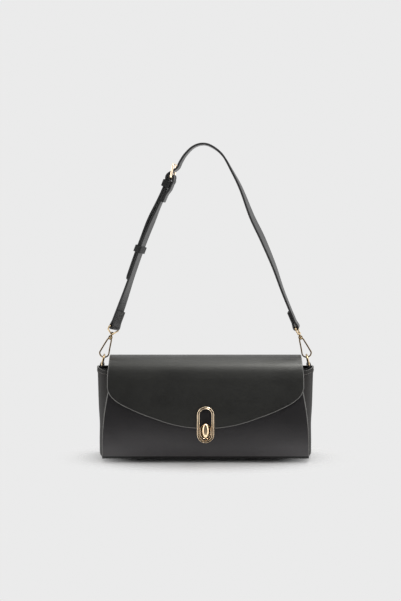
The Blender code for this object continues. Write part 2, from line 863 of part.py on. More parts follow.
def make_ring(group):
    """Oval lock ring on the flap, and the plate that clamps it from behind."""
    path = stadium(RING_WIDTH - RING_BAND, RING_HEIGHT - RING_BAND, RING_STEPS // 2)
    columns = len(path)
    rows = len(RING_SECTION_SHARES)
    frame = ring_frame(0.0)

    def place(column, row):
        x, y = path[column]
        straight = (RING_HEIGHT - RING_WIDTH) / 2
        centre_y = math.copysign(min(abs(y), straight), y)
        outward = Vector((x, y - centre_y, 0.0)).normalized()
        band_share, depth_share = RING_SECTION_SHARES[row]
        point = Vector((x, y, 0.0)) + outward * RING_BAND * band_share
        point.z = RING_DEPTH * depth_share
        return frame @ point

    ring_sheet("lock_ring", columns, rows, place, group, gold("lock_ring"))
    profile = FlapProfile()
    half_band = RING_BAND / 2 - NOTCH_CLEARANCE
    front = FLAP_STOCK + GAP
    back = front + RING_BACKING_STOCK
    section = ((-half_band, back), (-half_band, front), (half_band, front), (half_band, back))

    def place_backing(column, row):
        x, y = path[column]
        straight = (RING_HEIGHT - RING_WIDTH) / 2
        centre_y = math.copysign(min(abs(y), straight), y)
        outward = Vector((x, y - centre_y, 0.0)).normalized()
        reach, inset = section[row]
        at = frame @ (Vector((x, y, 0.0)) + outward * reach)
        point = profile.at(profile.front_position(at.z), inset)
        return Vector((at.x, point.y, point.z))

    name = "lock_ring_backing"
    ring_sheet(name, columns, len(section), place_backing, group, steel(name))


def lock_frame(depth):
    """Upright frame at the lock's spindle: X across, Y up, Z out of the front."""
    origin = Vector((0.0, depth, KNOB_HEIGHT))
    return frame_at(origin, X_AXIS, Z_AXIS, -Y_AXIS)


def panel_depths(low, high, inset=0.0):
    """Y of the front panel at a few heights, for pieces that lie flat on it."""
    count = RING_SEAT_SAMPLES
    return [front_depth(low + (high - low) * index / count, inset) for index in range(count + 1)]


def make_lock(front, group, tools):
    """Lock plate, turning knob and inner washer on the front panel."""
    plate_back = min(panel_depths(PLATE_FOOT, PLATE_FOOT + PLATE_LENGTH)) - GAP
    plate_front = plate_back - PLATE_DEPTH
    plate_width = RING_WIDTH - 2 * RING_BAND - 2 * PLATE_SLOT_CLEARANCE
    plate_centre = PLATE_FOOT + PLATE_LENGTH / 2
    shift = plate_centre - KNOB_HEIGHT
    outline = [(x, y + shift) for x, y in stadium(plate_width, PLATE_LENGTH, RING_STEPS // 4)]
    middle = (plate_back + plate_front) / 2
    name = "lock_base_plate"
    plate = flat_outline(name, [outline], PLATE_DEPTH, lock_frame(middle), group, None)
    plate = as_mesh(plate)
    plate.data.materials.append(gold(name))
    bevel = plate.modifiers.new("Edge", "BEVEL")
    bevel.width = PLATE_BEVEL
    bevel.segments = 2
    bore_radius = SPINDLE_RADIUS + SPINDLE_CLEARANCE
    washer_foot = plate_centre - WASHER_LENGTH / 2
    washer_front = max(panel_depths(washer_foot, washer_foot + WASHER_LENGTH, PANEL_STOCK)) + GAP
    washer_back = washer_front + WASHER_DEPTH
    bore_start = (0.0, plate_front - CUT_OVERRUN, KNOB_HEIGHT)
    bore_end = (0.0, washer_back + CUT_OVERRUN, KNOB_HEIGHT)
    bore = rod("spindle_bore", bore_radius, bore_start, bore_end, tools)
    combine(plate, bore, "DIFFERENCE")
    combine(front, bore, "DIFFERENCE")
    name = "lock_washer"
    outline = [(x, y + shift) for x, y in stadium(WASHER_WIDTH, WASHER_LENGTH, RING_STEPS // 4)]
    middle = (washer_front + washer_back) / 2
    washer = flat_outline(name, [outline], WASHER_DEPTH, lock_frame(middle), group, None)
    washer = as_mesh(washer)
    washer.data.materials.append(steel(name))
    combine(washer, bore, "DIFFERENCE")
    make_knob(washer_back - GAP, group, tools)


def knob_underside():
    """Y of the knob's underside, clear of the ring's front when the knob lies across it."""
    frame = ring_frame(-RING_DEPTH)
    up = frame.to_3x3() @ Y_AXIS
    drop = (frame.translation.z - KNOB_HEIGHT + KNOB_WIDTH / 2) / up.z
    return frame.translation.y - up.y * drop - KNOB_RING_CLEARANCE


def make_knob(spindle_end, group, tools):
    """Domed oval knob on its spindle."""
    name = "turn_knob"
    underside = knob_underside()
    bm = bmesh.new()
    bmesh.ops.create_uvsphere(bm, u_segments=28, v_segments=16, radius=1.0)
    bmesh.ops.bisect_plane(
        bm, geom=bm.verts[:] + bm.edges[:] + bm.faces[:], plane_co=(0, 0, 0),
        plane_no=(0, 0, -1), clear_outer=True,
    )
    rim = [edge for edge in bm.edges if edge.is_boundary]
    bmesh.ops.holes_fill(bm, edges=rim)
    bmesh.ops.scale(bm, vec=(KNOB_WIDTH / 2, KNOB_LENGTH / 2, KNOB_DOME), verts=bm.verts)
    bmesh.ops.recalc_face_normals(bm, faces=bm.faces)
    knob = link(name, mesh_from(bm, name), group, gold(name))
    knob.matrix_world = lock_frame(underside)
    start = (0.0, underside - KNOB_DOME / 2, KNOB_HEIGHT)
    spindle = rod("spindle", SPINDLE_RADIUS, start, (0.0, spindle_end, KNOB_HEIGHT), tools)
    combine(knob, spindle, "UNION")


def d_ring_points(side):
    """Centre line of a D-ring, whose flat bar lies in the chape."""
    bar = Vector((side * RING_BAR_REACH, STRAP_PLANE, RING_BAR_HEIGHT))
    top = Vector((side * HOOK_REACH, STRAP_PLANE, RING_TOP_HEIGHT))
    rise = top - bar
    up = rise.normalized()
    points = []
    arc_steps = 14
    for step in range(arc_steps + 1):
        angle = math.pi * step / arc_steps
        reach = math.copysign(abs(math.cos(angle)) ** 0.75, math.cos(angle))
        height = D_CORNER + (rise.length - D_CORNER) * math.sin(angle) ** 0.75
        points.append(bar + Y_AXIS * D_HALF_WIDTH * reach + up * height)
    corner_steps = 4
    for turn, sign in ((0, -1), (1, 1)):
        for step in range(1, corner_steps + 1):
            angle = math.pi / 2 * step / corner_steps
            if turn:
                angle = math.pi / 2 - angle + math.pi / 2 / corner_steps
            across = D_HALF_WIDTH - D_CORNER + D_CORNER * math.cos(angle)
            height = D_CORNER - D_CORNER * math.sin(angle)
            points.append(bar + Y_AXIS * sign * across + up * height)
    return points


def fold_line(first_leg, second_leg, bar_radius, stock, step):
    """Strip folded round a bar at the origin: (along the legs, across the layers) points."""
    near = (stock + GAP) / 2
    far = bar_radius + GAP + stock / 2
    reach = FOLD_REACH_FACTOR * far

    def height(along):
        return far + (near - far) * ease(along / reach)

    def leg(length):
        close_steps = 5
        close = [reach * index / close_steps for index in range(close_steps + 1)]
        count = max(1, math.ceil((length - reach) / step))
        rest = [reach + (length - reach) * index / count for index in range(1, count + 1)]
        return close + rest

    line = [(along, -height(along)) for along in reversed(leg(first_leg))]
    for index in range(1, FOLD_ARC_STEPS):
        angle = math.pi * index / FOLD_ARC_STEPS
        line.append((-far * math.sin(angle), -far * math.cos(angle)))
    line += [(along, height(along)) for along in leg(second_leg)]
    return line


def ribbon(name, stations, stock, group, material):
    """Flat strip through stations of (centre, width direction, half width)."""

    def place(column, row):
        centre, across, half_width = stations[row]
        return centre + across * half_width * (column - 1)

    return grid_sheet(name, 2, len(stations) - 1, place, stock, group, material, 0.0)


def make_d_ring(label, side, group):
    """D-ring and the leather chape that holds its bar inside the gusset."""
    name = "d_ring_" + label
    wire(name, d_ring_points(side), D_WIRE_RADIUS, group, gold(name), closed=True)
    bar = Vector((side * RING_BAR_REACH, STRAP_PLANE, RING_BAR_HEIGHT))
    line = fold_line(CHAPE_LEG, CHAPE_LEG, D_WIRE_RADIUS, CHAPE_STOCK, CHAPE_LEG)
    stations = []
    for along, across in line:
        centre = bar - Z_AXIS * along + X_AXIS * across
        stations.append((centre, Y_AXIS, CHAPE_WIDTH / 2))
    name = "chape_" + label
    ribbon(name, stations, CHAPE_STOCK, group, leather(name))


class HookFrame:
    """Places the pieces of one snap hook: q outboard, depth along Y, h up the hook's axis."""

    def __init__(self, side):
        """Stand the frame on the middle of the hook's loop."""
        self.origin = Vector((side * HOOK_REACH, STRAP_PLANE, HOOK_LOOP_HEIGHT))
        self.outboard = Vector((side * math.cos(HOOK_TILT), 0.0, math.sin(HOOK_TILT)))
        self.axis = Vector((-side * math.sin(HOOK_TILT), 0.0, math.cos(HOOK_TILT)))

    def at(self, outboard, depth, height):
        """World point of a place on the hook."""
        place = self.origin + self.outboard * outboard
        return place + Y_AXIS * depth + self.axis * height


def make_hook(label, side, twist, group, tools):
    """Snap hook: body, sprung gate, rivet and the swivelling bail."""
    frame = HookFrame(side)
    half_depth = (HOOK_HEAD_DEPTH + GAP) / 2
    shoulder = HOOK_LENGTH - HOOK_SHOULDER
    loop = []
    for degrees in range(-90, 81, 10):
        angle = math.radians(degrees)
        outboard = HOOK_LOOP_RADIUS * math.sin(angle)
        loop.append(frame.at(outboard, 0.0, -HOOK_LOOP_RADIUS * math.cos(angle)))
    nose = frame.at(-HOOK_LOOP_RADIUS, 0.0, NOSE_LENGTH)
    crank_height = HOOK_LENGTH - HOOK_CRANK
    crank = HOOK_SPREAD - (HOOK_SHOULDER - HOOK_CRANK) / 2
    body_points = [nose] + loop + [
        frame.at(HOOK_SPREAD, 0.0, shoulder),
        frame.at(crank, -half_depth, crank_height),
        frame.at(0.0, -half_depth, HOOK_LENGTH),
    ]
    name = "hook_body_" + label
    body = as_mesh(wire(name, body_points, HOOK_WIRE_RADIUS, group, None))
    body.data.materials.append(gold(name))
    outer = half_depth + HOOK_HEAD_DEPTH / 2
    inner = half_depth - HOOK_HEAD_DEPTH / 2
    head = rod(name + "_head", HOOK_HEAD_RADIUS, frame.at(0.0, -outer, HOOK_LENGTH),
               frame.at(0.0, -inner, HOOK_LENGTH), tools)
    combine(body, head, "UNION")
    shank_foot = HOOK_LENGTH + HOOK_HEAD_RADIUS / 2
    shank_top = HOOK_LENGTH + SHANK_LENGTH
    shank = rod(name + "_shank", SHANK_RADIUS, frame.at(0.0, -half_depth, shank_foot),
                frame.at(0.0, -half_depth, shank_top), tools)
    combine(body, shank, "UNION")
    button = rod(name + "_button", SHANK_HEAD_RADIUS,
                 frame.at(0.0, -half_depth, shank_top - SHANK_HEAD_DEPTH),
                 frame.at(0.0, -half_depth, shank_top), tools)
    combine(body, button, "UNION")
    rivet_reach = outer + GAP + RIVET_HEAD_DEPTH / 2
    bore = rod(name + "_bore", RIVET_RADIUS + RIVET_CLEARANCE,
               frame.at(0.0, -rivet_reach - CUT_OVERRUN, HOOK_LENGTH),
               frame.at(0.0, rivet_reach + CUT_OVERRUN, HOOK_LENGTH), tools)
    combine(body, bore, "DIFFERENCE")

    name = "hook_gate_" + label
    gate_points = [
        frame.at(-HOOK_LOOP_RADIUS, 0.0, NOSE_LENGTH + GAP),
        frame.at(-HOOK_SPREAD, 0.0, shoulder),
        frame.at(-crank, half_depth, crank_height),
        frame.at(0.0, half_depth, HOOK_LENGTH),
    ]
    gate = as_mesh(wire(name, gate_points, HOOK_WIRE_RADIUS, group, None))
    gate.data.materials.append(gold(name))
    eye = rod(name + "_eye", HOOK_HEAD_RADIUS, frame.at(0.0, inner, HOOK_LENGTH),
              frame.at(0.0, outer, HOOK_LENGTH), tools)
    combine(gate, eye, "UNION")
    combine(gate, bore, "DIFFERENCE")

    name = "hook_rivet_" + label
    rivet = rod(name, RIVET_RADIUS, frame.at(0.0, -rivet_reach, HOOK_LENGTH),
                frame.at(0.0, rivet_reach, HOOK_LENGTH), group, gold(name))
    for end in (-1, 1):
        under = end * (outer + GAP)
        cap = rod(name + "_cap", RIVET_HEAD_RADIUS, frame.at(0.0, under, HOOK_LENGTH),
                  frame.at(0.0, under + end * RIVET_HEAD_DEPTH, HOOK_LENGTH), tools)
        combine(rivet, cap, "UNION")
    make_bail(label, side, frame, half_depth, twist, group, tools)


def make_bail(label, side, frame, half_depth, twist, group, tools):
    """Wire bail that swivels on the hook's shank and carries the strap's end."""
    across = leg_width(frame.axis, side, twist)
    base = frame.at(0.0, -half_depth, HOOK_LENGTH)
    top = frame.at(0.0, 0.0, HOOK_LENGTH + BAIL_REACH)
    collar_top = COLLAR_START + COLLAR_DEPTH
    foot = base + frame.axis * (collar_top - BAIL_WIRE_RADIUS)
    waist = top - frame.axis * BAIL_SIDE
    shoulder = top - frame.axis * BAIL_CORNER
    inner = BAIL_HALF_WIDTH - BAIL_CORNER
    corner_share = 1 - math.cos(math.pi / 4)
    points = [
        foot + across * BAIL_WAIST,
        waist + across * BAIL_HALF_WIDTH,
        shoulder + across * BAIL_HALF_WIDTH,
        top + across * (BAIL_HALF_WIDTH - BAIL_CORNER * corner_share)
        - frame.axis * BAIL_CORNER * corner_share,
        top + across * inner,
        top - across * inner,
        top - across * (BAIL_HALF_WIDTH - BAIL_CORNER * corner_share)
        - frame.axis * BAIL_CORNER * corner_share,
        shoulder - across * BAIL_HALF_WIDTH,
        waist - across * BAIL_HALF_WIDTH,
        foot - across * BAIL_WAIST,
    ]
    name = "bail_" + label
    bail = as_mesh(wire(name, points, BAIL_WIRE_RADIUS, group, None))
    bail.data.materials.append(gold(name))
    collar = rod(name + "_collar", COLLAR_RADIUS, base + frame.axis * COLLAR_START,
                 base + frame.axis * collar_top, tools)
    combine(bail, collar, "UNION")
    bore = rod(name + "_bore", SHANK_RADIUS + RIVET_CLEARANCE, base,
               base + frame.axis * (collar_top + BAIL_WIRE_RADIUS), tools)
    combine(bail, bore, "DIFFERENCE")
    clear = rod(name + "_clear", SHANK_HEAD_RADIUS + GAP, base + frame.axis * collar_top,
                base + frame.axis * (SHANK_LENGTH + GAP), tools)
    combine(bail, clear, "DIFFERENCE")


def leg_width(direction, side, twist):
    """Width direction of a strap leg that rises along the direction, turned by the twist."""
    across = Vector((side * direction.z, 0.0, -side * direction.x))
    if across.x < 0:
        across.negate()
    turn = math.radians(twist)
    return (Y_AXIS * math.cos(turn) + across * math.sin(turn)).normalized()


class LeftLeg:
    """Left end of the strap, straight from the bail bar up to the buckle's heel bar."""

    def __init__(self):
        """Find the two bars and the directions between them."""
        self.foot = Vector((-STRAP_SPAN, STRAP_PLANE, STRAP_FOOT_HEIGHT))
        self.head = strap_point(HEEL_BAR_SHARES)
        self.length = (self.head - self.foot).length
        self.along = (self.head - self.foot).normalized()

    def twist(self, along):
        """Twist in degrees at a distance up the leg."""
        low = ease((along - FOOT_TWIST_LENGTH) / (LEG_TWIST_START - FOOT_TWIST_LENGTH))
        high = ease((along - self.length + 2 * HEAD_TWIST_LENGTH) / HEAD_TWIST_LENGTH)
        twist = LEFT_FOOT_TWIST + (LEFT_LEG_TWIST - LEFT_FOOT_TWIST) * low
        return twist + (LEFT_HEAD_TWIST - LEFT_LEG_TWIST) * high

    def frame(self, along):
        """Width direction and outer direction at a distance up the leg."""
        across = leg_width(self.along, -1, self.twist(along))
        outward = self.along.cross(across).normalized()
        if outward.x > 0:
            outward.negate()
        return across, outward

    def bow(self, along):
        """How far the leg bends outwards at a distance up it."""
        share = min(max(along / self.length, 0.0), 1.0)
        return LEG_BOW * math.sin(math.pi * share ** LEG_BOW_POWER) ** 2

    def slack(self, along):
        """How far the long strap stands off the short one between the two keepers."""
        top = self.length - FIXED_KEEPER_DROP - KEEPER_LENGTH
        bottom = self.length - SLIDING_KEEPER_DROP + KEEPER_LENGTH
        share = min(max((along - bottom) / (top - bottom), 0.0), 1.0)
        return LAYER_SLACK * math.sin(math.pi * share) ** 2

    def middle(self, along):
        """Point on the leg's middle layer line at a distance up it."""
        side = Vector((self.along.z, 0.0, -self.along.x))
        return self.foot + self.along * along - side * self.bow(along)

    def station(self, along, height, half_width=STRAP_WIDTH / 2):
        """Ribbon station at a distance up the leg and a height over its middle layer line."""
        across, outward = self.frame(along)
        return self.middle(along) + outward * height, across, half_width


def strap_point(shares):
    """Point in the strap's plane from shares of the span and the rise."""
    x = STRAP_SPAN * shares[0]
    return Vector((x, STRAP_PLANE, STRAP_FOOT_HEIGHT + STRAP_RISE * shares[1]))


def resample(points, step):
    """Smooth line through (point, twist) rows, with a station about every step."""
    rows = [Vector((place.x, place.z, twist, place.y)) for place, twist in points]
    dense = [point for _, point in spline_through(rows, PROFILE_SAMPLES)]
    lengths = [0.0]
    for first, second in zip(dense, dense[1:]):
        lengths.append(lengths[-1] + (second.xy - first.xy).length)
    count = max(2, round(lengths[-1] / step))
    result = []
    index = 0
    for number in range(count + 1):
        target = lengths[-1] * number / count
        while index < len(dense) - 2 and lengths[index + 1] < target:
            index += 1
        span = lengths[index + 1] - lengths[index]
        share = min((target - lengths[index]) / span, 1.0)
        result.append(dense[index].lerp(dense[index + 1], share))
    return result


def arch_stations(route):
    """Ribbon stations along the free arch of the long strap."""
    line = resample(route, ARCH_STEP)
    stations = []
    for index, row in enumerate(line):
        before = line[max(index - 1, 0)]
        after = line[min(index + 1, len(line) - 1)]
        tangent = (after.xy - before.xy).normalized()
        normal = Vector((tangent.y, 0.0, -tangent.x))
        turn = math.radians(row.z)
        across = (Y_AXIS * math.cos(turn) + normal * math.sin(turn)).normalized()
        centre = Vector((row.x, row.w, row.y))
        stations.append((centre, across, STRAP_WIDTH / 2))
    return stations


def right_fold_stations():
    """Ribbon stations of the long strap's end, folded round the right bail."""
    foot = Vector((STRAP_SPAN, STRAP_PLANE, STRAP_FOOT_HEIGHT))
    first = strap_point(ARCH_SHARES[0])
    along = (first - foot).normalized()
    across = leg_width(along, 1, RIGHT_TWIST)
    outward = along.cross(across).normalized()
    if outward.x < 0:
        outward.negate()
    line = fold_line(STRAP_TAIL, STRAP_TAIL, BAIL_WIRE_RADIUS, STRAP_STOCK, LEG_STEP)
    stations = []
    for distance, height in line:
        centre = foot + along * distance + outward * height
        stations.append((centre, across, STRAP_WIDTH / 2))
    return stations


def make_long_strap(leg, group, tools):
    """Long strap: folded round the right bail, over the arch, through the buckle to its tip."""
    stations = right_fold_stations()
    joint = stations.pop()
    previous = stations.pop()
    route = [(previous[0], RIGHT_TWIST), (joint[0], RIGHT_TWIST)]
    joint_rise = joint[0].z + ARCH_STEP
    for x_share, z_share, twist in ARCH_SHARES:
        place = strap_point((x_share, z_share))
        if place.x < 0 or place.z > joint_rise:
            route.append((place, twist))
    layer = 3 * LAYER_PITCH / 2
    extra = BUCKLE_WIRE_RADIUS + GAP
    for distance, share in TUCK_SHARES:
        place, _, _ = leg.station(leg.length + distance * extra, layer + extra * share)
        route.append((place, -LEFT_HEAD_TWIST))
    arch = arch_stations(route)
    stations += arch
    start = leg.length + TUCK_SHARES[-1][0] * extra - LEG_STEP
    count = round((start - LONG_TAIL_END) / LEG_STEP)
    for index in range(count + 1):
        along = start - (start - LONG_TAIL_END - TIP_SHAPE_LENGTH) * index / count
        stations.append(leg.station(along, layer + leg.slack(along)))
    for index, share in enumerate(TIP_SHARES[1:]):
        along = LONG_TAIL_END + TIP_SHAPE_LENGTH * (1 - (index + 1) / (len(TIP_SHARES) - 1))
        stations.append(leg.station(along, layer, STRAP_WIDTH / 2 * share))
    strap = ribbon("strap_long", stations, STRAP_STOCK, group, leather("strap_long"))
    combine(strap, prong_slot_cutter(leg, tools), "DIFFERENCE")
    for index in range(PUNCH_COUNT):
        along = leg.length - FIXED_KEEPER_DROP - PUNCH_START - PUNCH_PITCH * index
        across, outward = leg.frame(along)
        middle, _, _ = leg.station(along, layer + leg.slack(along))
        reach = outward * STRAP_STOCK
        punch = rod(f"punch_{index + 1}", PUNCH_RADIUS, middle - reach, middle + reach, tools,
                    segments=12)
        combine(strap, punch, "DIFFERENCE")


def tail_bulge(along):
    """How far the short strap's tail bends out over the fixed keeper, below the heel bar."""
    start = FIXED_KEEPER_DROP - KEEPER_LENGTH / 2
    end = FIXED_KEEPER_DROP + KEEPER_LENGTH / 2 + KEEPER_BULGE_FADE + GAP
    near = ease(along / start)
    far = ease((end - along) / KEEPER_BULGE_FADE)
    return (KEEPER_STOCK + KEEPER_CLEARANCE) * near * far


def make_short_strap(leg, group, tools):
    """Short strap: folded round the left bail and the buckle's heel bar."""
    foot_line = fold_line(STRAP_TAIL, STRAP_TAIL, BAIL_WIRE_RADIUS, STRAP_STOCK, LEG_STEP)
    head_line = fold_line(HEEL_TAIL, HEEL_TAIL, BUCKLE_WIRE_RADIUS, STRAP_STOCK, LEG_STEP)
    near = LAYER_PITCH / 2
    stations = [leg.station(along, height) for along, height in foot_line]
    gap = leg.length - STRAP_TAIL - HEEL_TAIL
    count = round(gap / LEG_STEP)
    for index in range(1, count):
        stations.append(leg.station(STRAP_TAIL + gap * index / count, near))
    for along, height in reversed(head_line):
        if height < 0:
            height -= tail_bulge(along)
        stations.append(leg.station(leg.length - along, height))
    strap = ribbon("strap_short", stations, STRAP_STOCK, group, leather("strap_short"))
    across, outward = leg.frame(leg.length)
    width = 2 * (PRONG_RADIUS + PRONG_SLOT_CLEARANCE)
    height = 4 * LAYER_PITCH
    frame = frame_at(leg.head, across, leg.along, across.cross(leg.along))
    slot = block("heel_slot", (width, 2 * SLOT_REACH, height), frame, tools)
    combine(strap, slot, "DIFFERENCE")


def buckle_axes(leg):
    """Across, up and outward directions of the buckle, with its two bars' centres."""
    heel = leg.head
    front = strap_point(FRONT_BAR_SHARES)
    across, _ = leg.frame(leg.length)
    up = (front - heel).normalized()
    outward = up.cross(across).normalized()
    if outward.x > 0:
        outward.negate()
    return across, up, outward, heel, front


def prong_slot_cutter(leg, tools):
    """Wedge that clears the prong's path through the long strap."""
    across, up, outward, heel, front = buckle_axes(leg)
    offset = BUCKLE_WIRE_RADIUS + GAP + PRONG_RADIUS
    reach = (front - heel).length + PRONG_OVERHANG
    side = PRONG_RADIUS + PRONG_SLOT_CLEARANCE
    near = offset - side
    far = offset + side
    outline = [
        (near, 0.0),
        (far, 0.0),
        (far + reach * math.tan(PRONG_SWEEP), reach),
        (near, reach),
    ]
    frame = frame_at(heel, outward, across.cross(outward).normalized(), across)
    if (frame.to_3x3() @ Y_AXIS).dot(up) < 0:
        outline = [(x, -y) for x, y in outline]
    cutter = flat_outline("prong_slot", [outline], 2 * side, frame, tools, None)
    return as_mesh(cutter)


def make_buckle(leg, group):
    """Buckle frame and prong."""
    across, up, outward, heel, front = buckle_axes(leg)
    half = STRAP_WIDTH / 2 + BUCKLE_SIDE_CLEARANCE + BUCKLE_WIRE_RADIUS
    length = (front - heel).length
    middle = (heel + front) / 2
    points = []
    for x, y in rounded_rectangle(2 * half, length, BUCKLE_CORNER, 4):
        points.append(middle + across * x + up * y)
    name = "buckle_frame"
    wire(name, points, BUCKLE_WIRE_RADIUS, group, gold(name), closed=True)
    offset = BUCKLE_WIRE_RADIUS + GAP + PRONG_RADIUS
    eye_steps = 12
    prong = []
    for step in range(eye_steps + 1):
        angle = math.radians(-270.0 * (1 - step / eye_steps))
        prong.append(heel + outward * offset * math.cos(angle) + up * offset * math.sin(angle))
    prong.append(heel + outward * offset + up * (length + PRONG_OVERHANG))
    name = "buckle_prong"
    wire(name, prong, PRONG_RADIUS, group, gold(name))


def make_keeper(name, leg, drop, low, high, group):
    """Leather loop round the layers of the strap between two heights."""
    along = leg.length - drop
    across, outward = leg.frame(along)
    middle = (low + high) / 2
    clear = 2 * KEEPER_CLEARANCE
    inner_width = STRAP_WIDTH + clear
    inner_height = high - low + clear
    rise = 2 * KEEPER_STOCK
    outer = rounded_rectangle(inner_width + rise, inner_height + rise, KEEPER_CORNER + GAP, 3)
    inner = rounded_rectangle(inner_width, inner_height, GAP, 2)
    origin = leg.middle(along) + outward * middle
    frame = frame_at(origin, across, outward, across.cross(outward).normalized())
    flat_outline(name, [outer, inner], KEEPER_LENGTH, frame, group, leather(name))


def make_strap(group, tools):
    """Both straps, the buckle and the keepers."""
    leg = LeftLeg()
    make_long_strap(leg, group, tools)
    make_short_strap(leg, group, tools)
    make_buckle(leg, group)
    half = STRAP_STOCK / 2
    middle_face = LAYER_PITCH / 2 - half
    outer_face = 3 * LAYER_PITCH / 2 + half
    raised_face = outer_face + FIXED_KEEPER_ROOM
    make_keeper("keeper_fixed", leg, FIXED_KEEPER_DROP, middle_face, raised_face, group)
    make_keeper("keeper_sliding", leg, SLIDING_KEEPER_DROP, middle_face, outer_face, group)


def hang(name, place, pieces, group, parent=None):
    """Hang the pieces of one moving body from an empty that stands on its joint's axis."""
    pivot = bpy.data.objects.new(name, None)
    pivot.location = place
    pivot.empty_display_size = STRAP_WIDTH
    group.objects.link(pivot)
    if parent:
        pivot.parent = parent
        pivot.matrix_parent_inverse = parent.matrix_world.inverted()
    bpy.context.view_layer.update()
    for piece in pieces:
        item = group.objects[piece]
        item.parent = pivot
        item.matrix_parent_inverse = pivot.matrix_world.inverted()
    return pivot


def hang_flap(group):
    """Hang the two moving parts of the flap from their bends."""
    profile = FlapProfile()
    hinge = profile.at(profile.hinge)
    pieces = ["flap_top_panel", "flap_top_lining"]
    top = hang("pivot_flap_top", hinge, pieces, group)
    pieces = ["flap_front_panel", "flap_front_lining", "lock_ring", "lock_ring_backing"]
    hang("pivot_flap_front", profile.at(profile.bend), pieces, group, top)


def hang_strap(group):
    """Hang the strap, its fittings and the D-rings from their axes."""
    leg = LeftLeg()
    foot = Vector((0.0, STRAP_PLANE, HOOK_FOOT_HEIGHT))
    pieces = ["strap_long", "strap_short", "buckle_frame", "keeper_fixed"]
    strap = hang("pivot_strap", foot, pieces + ["bail_left", "bail_right"], group)
    hang("pivot_buckle_prong", leg.head, ["buckle_prong"], group, strap)
    keeper = leg.middle(leg.length - SLIDING_KEEPER_DROP)
    hang("pivot_keeper_sliding", keeper, ["keeper_sliding"], group, strap)
    for label, side in (("left", -1), ("right", 1)):
        bar = Vector((side * RING_BAR_REACH, STRAP_PLANE, RING_BAR_HEIGHT))
        hang("pivot_d_ring_" + label, bar, ["d_ring_" + label], group)
        frame = HookFrame(side)
        shank = frame.at(0.0, -(HOOK_HEAD_DEPTH + GAP) / 2, HOOK_LENGTH)
        pieces = ["hook_body_" + label, "hook_rivet_" + label]
        hook = hang("pivot_hook_" + label, shank, pieces, group, strap)
        rivet = frame.at(0.0, 0.0, HOOK_LENGTH)
        hang("pivot_hook_gate_" + label, rivet, ["hook_gate_" + label], group, hook)


def main():
    """Build the whole bag."""
    clear_scene()
    group = new_collection("shoulder_bag")
    tools = new_collection("shoulder_bag_cutters")
    front = make_wall("front_panel", front_depth, front_half_width, 1, group)
    make_wall("back_panel", back_depth, back_half_width, -1, group)
    make_gusset("gusset_left", -1, group)
    make_gusset("gusset_right", 1, group)
    make_base(group)
    make_lining(group)
    make_pocket(group)
    make_flap(group, tools)
    make_ring(group)
    make_lock(front, group, tools)
    for label, side, twist in (("left", -1, LEFT_FOOT_TWIST), ("right", 1, RIGHT_TWIST)):
        make_d_ring(label, side, group)
        make_hook(label, side, twist, group, tools)
    make_strap(group, tools)
    hang_flap(group)
    hang_strap(group)
    spindle = Vector((0.0, front_depth(KNOB_HEIGHT), KNOB_HEIGHT))
    hang("pivot_turn_knob", spindle, ["turn_knob"], group)


main()
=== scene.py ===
"""Dresses a structured black leather shoulder bag for its picture.

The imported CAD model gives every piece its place. This script adds the leather panels with their
painted edges, the two-part flap, the turn lock, the snap hooks, the adjustable strap, the lining,
the stitching, and a plain pale studio with the photograph's camera. All lengths are in metres.
"""
from __future__ import annotations

import logging
import math
from dataclasses import dataclass
from enum import Enum
from typing import Callable, Sequence

import bmesh
import bpy
from mathutils import Matrix, Vector

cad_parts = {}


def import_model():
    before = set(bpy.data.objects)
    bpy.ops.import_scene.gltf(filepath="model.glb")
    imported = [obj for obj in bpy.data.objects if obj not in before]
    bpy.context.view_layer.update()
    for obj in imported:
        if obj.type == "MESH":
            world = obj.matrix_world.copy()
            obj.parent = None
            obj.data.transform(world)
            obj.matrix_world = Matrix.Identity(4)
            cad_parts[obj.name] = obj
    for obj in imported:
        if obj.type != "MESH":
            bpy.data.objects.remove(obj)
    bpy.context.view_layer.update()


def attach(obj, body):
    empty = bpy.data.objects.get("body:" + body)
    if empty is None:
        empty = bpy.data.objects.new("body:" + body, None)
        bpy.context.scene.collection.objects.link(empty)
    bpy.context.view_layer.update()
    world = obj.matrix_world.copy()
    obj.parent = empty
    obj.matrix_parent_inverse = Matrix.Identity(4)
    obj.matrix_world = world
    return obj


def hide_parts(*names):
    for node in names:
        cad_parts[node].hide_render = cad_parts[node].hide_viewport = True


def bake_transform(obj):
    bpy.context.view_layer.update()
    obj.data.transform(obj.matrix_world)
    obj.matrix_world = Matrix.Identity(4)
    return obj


LOG = logging.getLogger("shoulder_bag")
MM = 0.001
GAP = 0.3 * MM
WELD = MM / 500
QUARTER = math.pi / 2
X_AXIS, Y_AXIS, Z_AXIS = Vector((1, 0, 0)), Vector((0, 1, 0)), Vector((0, 0, 1))
BMesh = bmesh.types.BMesh
Node = bpy.types.Node
Socket = bpy.types.NodeSocket
Object = bpy.types.Object
Point2 = tuple[float, float]
Rgb = tuple[float, float, float]
Row = tuple[Vector, Vector]


class Body(str, Enum):
    """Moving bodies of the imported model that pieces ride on."""

    BAG = "bag"
    FLAP_TOP = "flap_top"
    FLAP_FRONT = "flap_front"
    KNOB = "turn_knob_body"
    STRAP = "strap"
    KEEPER = "keeper"
    PRONG = "prong"


class Slot(str, Enum):
    """Material slots of the record."""

    LEATHER = "black_leather"
    LINING = "black_lining"
    GOLD = "pale_gold"
    STEEL = "plain_steel"
    BOARD = "stiffener_board"


class Side(int, Enum):
    """Left and right of the bag, seen from the front."""

    LEFT = -1
    RIGHT = 1

    @property
    def label(self) -> str:
        """Word used in node and body names."""
        return self.name.lower()


class Effect(Enum):
    """Node groups that the finishes share."""

    GRAIN = "Leather grain"
    MARKS = "Fine marks"
    WEAVE = "Twill weave"


# Small sums


def mm(*points: Point2) -> list[Point2]:
    """Points in millimetres as points in metres."""
    return [(x * MM, y * MM) for x, y in points]


